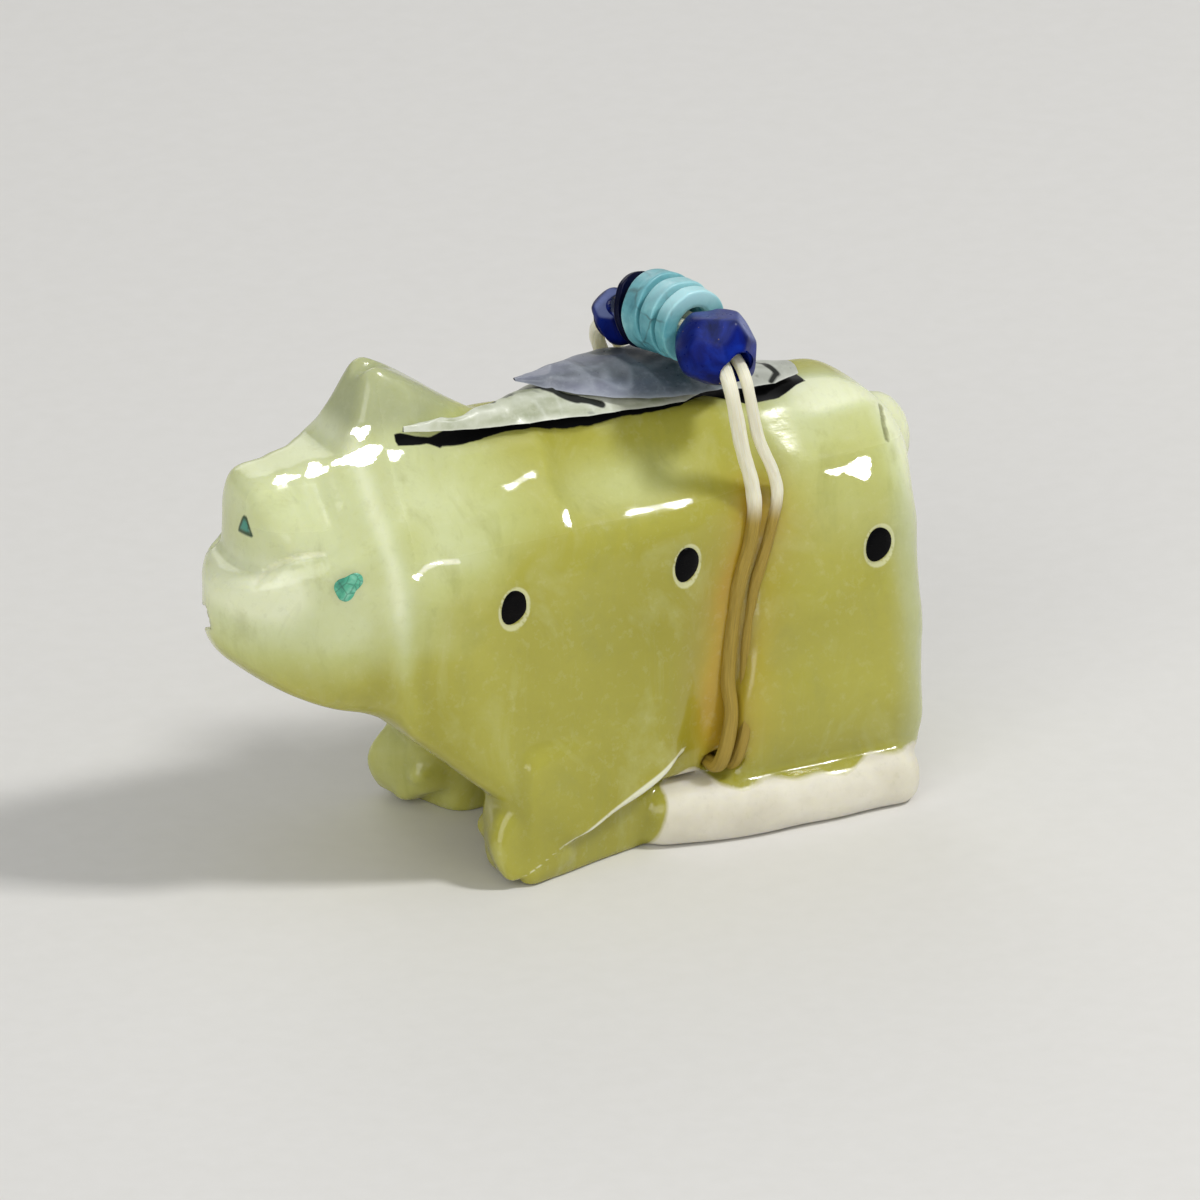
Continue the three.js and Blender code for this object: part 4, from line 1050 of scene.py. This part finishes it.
def bead_seats():
    """Middle of each bead along the line. At a bend the smaller end face, times the bend's tangent, is added."""
    def seats(start):
        at = start + BEADS[0][2] / 2
        found = [at]
        for (_, d0, l0, c0), (_, d1, l1, c1) in zip(BEADS, BEADS[1:]):
            flat = (l0 + l1) / 2 + BEAD_GAP
            face = min(d0 / 2 - c0, d1 / 2 - c1)
            step = flat
            for _ in range(4):
                bend = np.arccos(np.clip(row_direction(at) @ row_direction(min(at + step, row_length)), -1, 1))
                step = flat + face * np.tan(bend)
            at += step
            found.append(at)
        return found
    first = seats(0)
    return seats((row_length - first[-1] - BEADS[-1][2] / 2) / 2)


def bead_shell(radius, height, seat, direction):
    """Closed ring about the given direction: the outline's radius and height for each turn angle, as arrays of rows by
    columns, then the bore's wall."""
    columns = radius.shape[1]
    wall = np.linspace(height[-1].mean(), height[0].mean(), BORE_ROWS)[:, None] * np.ones(columns)
    radius = np.vstack([radius, np.full((BORE_ROWS, columns), BORE)])
    height = np.vstack([height, wall])[..., None]
    across = square_to(direction, ALONG)
    points = seat + section(radius, across, np.cross(direction, across)) + height * direction
    faces = grid_faces(len(radius), columns, close_rows=True, close_columns=True)[:, ::-1]
    return points.reshape(-1, 3), faces


def disc_bead(diameter, length, seat, direction, seed):
    """Drilled disc: flat faces, a rim rounded by a quarter circle, a faint groove as a bell round its middle, and wear
    that varies as low sines of the angle."""
    chance = np.random.default_rng(seed)
    angle = all_round(96)
    half, outer = length / 2, diameter / 2
    soft = min(0.1, half * 0.5)
    quarter = np.linspace(0, np.pi / 2, 7)
    face = np.linspace(BORE + 0.05, outer - soft, 6)
    r = np.concatenate([[BORE], face, outer - soft + soft * np.sin(quarter)[1:]])
    h = np.concatenate([[-half + 0.06], 0 * face - half, -half + soft - soft * np.cos(quarter)[1:]])
    side = np.linspace(-half + soft, half - soft, 5)[1:-1]
    r = np.concatenate([r, 0 * side + outer, r[::-1]])
    h = np.concatenate([h, side, -h[::-1]])
    waves = zip((2, 3, 5, 9), (0.012, 0.012, 0.008, 0.004), chance.uniform(0, 6, 4))
    wear = np.abs(sum(size * np.sin(count * angle + start) for count, size, start in waves))
    share = np.clip((r - BORE) / (outer - BORE), 0, 1)[:, None]
    groove = 1 - 0.01 * bell(h, 0, 0.2 * half)[:, None]
    radius = r[:, None] * groove * (1 - share * (0.02 + wear))
    tilt = 0.02 * np.sin(angle + chance.uniform(0, 6)) * share
    height = h[:, None] + tilt * length * 0.5
    return bead_shell(radius, height, seat, direction)


# Flats of the two nuggets that the photo shows: outward direction, share of the size and how much painted sheen the
# flat gets.
FLATS = {
    "bead_near": [([0.75, -0.35, 0.55], 0.8, 0.5), ([0.62, -0.78, -0.05], 0.84, 0.0), ([-0.35, -0.6, 0.7], 0.86, 0.1),
                  ([0.1, -0.95, 0.35], 0.9, 0.0), ([0.1, 0.1, 1.0], 0.88, 0.2)],
    "bead_far": [([-0.3, -0.3, 0.9], 0.76, 1.0), ([-0.7, -0.7, -0.1], 0.86, 0.0), ([0.2, -0.9, 0.1], 0.9, 0.0)],
}


def nugget_bead(diameter, length, seat, direction, seed, flats, end):
    """Ground nugget: in each direction the nearest of several planes and an oval, rounded together by the sum of their
    distances to a high negative power, with ends at the bore's mouths. end is the outward direction of the face
    beside the next bead, which reaches a little further."""
    chance = np.random.default_rng(seed)
    columns, rows, planes, reach_out, power = 120, 70, 11, 0.62, -36.0
    angle = all_round(columns)
    half, outer = length / 2, diameter / 2
    across = square_to(direction, ALONG)
    axes = np.array([across, np.cross(direction, across), direction])

    def oval(ways, longer):
        round_share = (ways[..., 0] ** 2 + ways[..., 1] ** 2) / outer ** 2
        return 1 / np.sqrt(round_share + ways[..., 2] ** 2 / (half * longer) ** 2)

    lean = np.arctan2(BORE, half * 0.98)
    phi = np.linspace(np.pi - lean, lean, rows)[:, None]
    ray = np.stack([np.sin(phi) * np.cos(angle), np.sin(phi) * np.sin(angle), np.cos(phi) + 0 * angle], axis=-1)
    ways, shares, sheens = zip(*flats)
    normals = unit(np.vstack([chance.normal(size=(planes, 3)) * [1, 1, 0.8], np.array(ways) @ axes.T]))
    away = oval(normals, 1.05) * np.append(chance.uniform(0.86, 1.0, planes), shares)
    pale = np.concatenate([np.zeros(planes), sheens, [0.0, 0.0]])
    normals = np.vstack([normals, axes @ end, [0, 0, -np.sign(end @ direction)]])
    reach = np.append(away, [half + reach_out, half]) / np.maximum(ray @ normals.T, 1e-3)
    every = np.concatenate([reach, oval(ray, 1.5)[..., None]], axis=-1)
    total = np.sum(every ** power, axis=-1)
    weight = reach ** power / total[..., None]
    length_out = total ** (1 / power)
    radius, height = length_out * np.sin(phi), length_out * np.cos(phi)
    radius[0], radius[-1] = BORE, BORE
    points, faces = bead_shell(radius, height, seat, direction)
    bore_wall = np.zeros(BORE_ROWS * columns)
    # The first mark is a painted sheen on the flats that face the light.
    marks = {"facet_sheen": weight @ pale, "rim": 1 - np.max(weight, axis=-1)}
    return points, faces, {name: np.append(mark.ravel(), bore_wall) for name, mark in marks.items()}


turquoise_finish, lapis_finish = turquoise(), lapis()
SEATS = bead_seats()
for number, ((node, diameter, length, _), at) in enumerate(zip(BEADS, SEATS)):
    seat, direction, marks = row_at(at), row_direction(at), {}
    if node in FLATS:
        inward = 1 if number == 0 else -1
        end = inward * row_direction(SEATS[number + inward])
        points, faces, marks = nugget_bead(diameter, length, seat, direction, 30 + number, FLATS[node], end)
    else:
        points, faces = disc_bead(diameter, length, seat, direction, 20 + number)
    marks["deep"] = np.full(len(points), {"bead_far_disc": 1.0, "bead_far": 0.45}.get(node, 0.0))
    # Painted light on the upper part of each bead, most on the nearest turquoise disc.
    top_light_share = {"bead_turquoise_2": 0.55, "bead_turquoise_3": 0.95}.get(node, 0.15)
    marks["painted_top_light"] = top_light_share * smooth_step(points[:, 2] - seat[2], 0.3, 1.5)
    finish, slot = (turquoise_finish, "turquoise") if "turquoise" in node else (lapis_finish, "lapis")
    new_piece(f"strung_{node}", points, faces, finish, node, marks=marks)


def sinew_line():
    """Points of the closed loop: through the beads, down the left side, under the belly and up the right side, with a
    free point beyond each end of the row."""
    through = row_at(np.array([0.04, 0.16, 0.28, 0.42, 0.58, 0.7, 0.8, 0.9, 0.98]) * row_length)
    waist = np.array([[7.6, 5, 15], [7.25, 5, 13.2], [6.2, 5.3, 10.6], [5.5, 5.5, 7.1], [5.35, 5.6, 5.4]])
    height = np.array([0.3, 0.1, 0.06, 0.06, 0.1])
    fall = np.array([[6.6, -4.9, 17.6]])
    rise = ROW_TOP + np.array([[-0.06, 0.64, -0.43]]) * ROW
    below = np.array([[PASSAGE[0], y, PASSAGE[1]] for y in (-5.3, -3.5, 0, 3.5, 5.3)])
    left = settle(waist * [1, -1, 1], height)
    right = settle(waist, height)[::-1]
    return np.vstack([through, fall, left, below, right, rise])


def strand(name, node, shift, thick, material, seed):
    """Tube about the loop, shifted along the body by half of a strand and its gap, and by 0.45 more of that in a bell
    about 15 mm up. Its section has small lobes that turn slowly along the strand."""
    middle = sinew_line()
    sideways = square_to(unit(np.roll(middle, -1, axis=0) - np.roll(middle, 1, axis=0)), ALONG)
    apart = (STRAND + STRAND_GAP) / 2 * (1 + 0.45 * bell(middle[:, 2], 15, 1.6))
    at, whole = by_length(curve_through(middle + sideways * shift * apart[:, None], closed=True))
    rows, columns = 620, 36
    run = np.linspace(0, whole, rows, endpoint=False)
    centre = at(run)
    ahead = unit(at((run + 0.02) % whole) - at((run - 0.02) % whole))
    beside = square_to(ahead, ALONG)
    chance = np.random.default_rng(seed)
    angle, length = all_round(columns), run[:, None]
    twist = length * 0.5 + 0.5 * np.sin(length * 0.35)
    lobes = 1 - 0.07 * (1 + np.sin(5 * (angle + twist) + chance.uniform(0, 6))) / 2
    lobes = lobes - 0.05 * (1 + np.sin(9 * (angle - 0.7 * twist) + 2)) / 2
    radius = thick * STRAND / 2 * lobes * (0.97 + 0.03 * np.sin(length * 1.7))
    points = centre[:, None] + section(radius, beside[:, None], np.cross(ahead, beside)[:, None])
    faces = grid_faces(rows, columns, close_rows=True, close_columns=True)
    # Painted shade on the strand below the bevel's edge, down the sides and under the belly.
    low = smooth_step(np.repeat(centre[:, 2], columns), 14.9, 13.4)
    across = np.abs(np.linspace(-1, 1, columns, endpoint=False))
    uv = np.stack(np.broadcast_arrays(length / 10, across), axis=-1).reshape(-1, 2)
    new_piece(name, points.reshape(-1, 3), faces, material, node, uv=uv, marks={"groove_shade": low})


fibre = sinew_fibre()
strand("sinew_strand_front", "sinew_front", shift=-1, thick=1.08, material=fibre, seed=3)
strand("sinew_strand_rear", "sinew_rear", shift=1, thick=0.88, material=fibre, seed=8)


# ---------------------------------------------------------------- floor, light and camera

# The photo was taken this far round towards the head, and this far up.
VIEW_TURN, VIEW_RISE = np.radians(29), np.radians(23)


def floor_and_backdrop():
    """Pale sheet that lies flat up to the bend, then rises in a quarter circle and goes on upright, in metres."""
    start, radius = 0.45, 0.25
    s = np.linspace(-0.6, 1.4, 60)
    beyond = np.clip(s - start, 0, None)
    angle = np.minimum(beyond / radius, np.pi / 2)
    forward = np.minimum(s, start) + radius * np.sin(angle)
    rise = radius * (1 - np.cos(angle)) + np.maximum(beyond - radius * np.pi / 2, 0)
    across = np.linspace(-1.2, 1.2, 3)[:, None]
    away = np.array([np.sin(VIEW_TURN), np.cos(VIEW_TURN), 0])
    right = np.array([np.cos(VIEW_TURN), -np.sin(VIEW_TURN), 0])
    points = forward[:, None, None] * away + across * right + rise[:, None, None] * UP
    r = Recipe("studio_paper")
    paper = r.mix(r.noise(900, 2), "dfddd8", "e4e2de")
    finish = r.finish(Base_Color=paper, Roughness=0.9, Specular_IOR_Level=0.2)
    mesh = new_mesh("studio_floor", points.reshape(-1, 3), grid_faces(len(s), len(across))[:, ::-1], finish)
    floor = in_scene("studio_floor", mesh)


def aim(thing, target, away, distance):
    """Puts a lamp or camera at the distance from the target, in the direction away, looking back at it."""
    thing.location = Vector(target) + away * distance
    thing.rotation_euler = away.to_track_quat("Z", "Y").to_euler()


def soft_light(name, direction, distance, size, power):
    """Square soft light at the given direction and distance from a point 10 mm above the floor's middle."""
    data = bpy.data.lights.new(name, "AREA")
    data.shape, data.size, data.energy = "SQUARE", size, power
    aim(in_scene(name, data), (0, 0, 0.01), Vector(direction).normalized(), distance)


def camera_as_photographed():
    """Long lens in the photo's direction, with 50 mm of the object across the picture."""
    distance, film, shown, level = 1.0, 36, 0.05, np.cos(VIEW_RISE)
    back = Vector((-np.sin(VIEW_TURN) * level, -np.cos(VIEW_TURN) * level, np.sin(VIEW_RISE)))
    data = bpy.data.cameras.new("camera")
    data.sensor_width, data.lens = film, film * distance / shown
    data.clip_start, data.clip_end = 0.01, 10
    camera = in_scene("camera", data)
    aim(camera, (0.00195, 0, 0.0094), back, distance)
    bpy.context.scene.camera = camera


floor_and_backdrop()
soft_light("overhead", (0.446, -0.42, 0.79), distance=0.4, size=0.06, power=0.8)
soft_light("front_fill", (-0.9, -0.75, 0.5), distance=0.5, size=0.35, power=0.85)
soft_light("rim", (0.2, 0.9, 0.5), distance=0.5, size=0.25, power=0.3)
world = bpy.data.worlds.new("studio")
world.use_nodes = True
sky = world.node_tree.nodes["Background"]
sky.inputs[0].default_value = (0.95, 0.97, 1.0, 1)
sky.inputs[1].default_value = 0.42
bpy.context.scene.world = world
bpy.context.scene.view_settings.view_transform = "Standard"
camera_as_photographed()
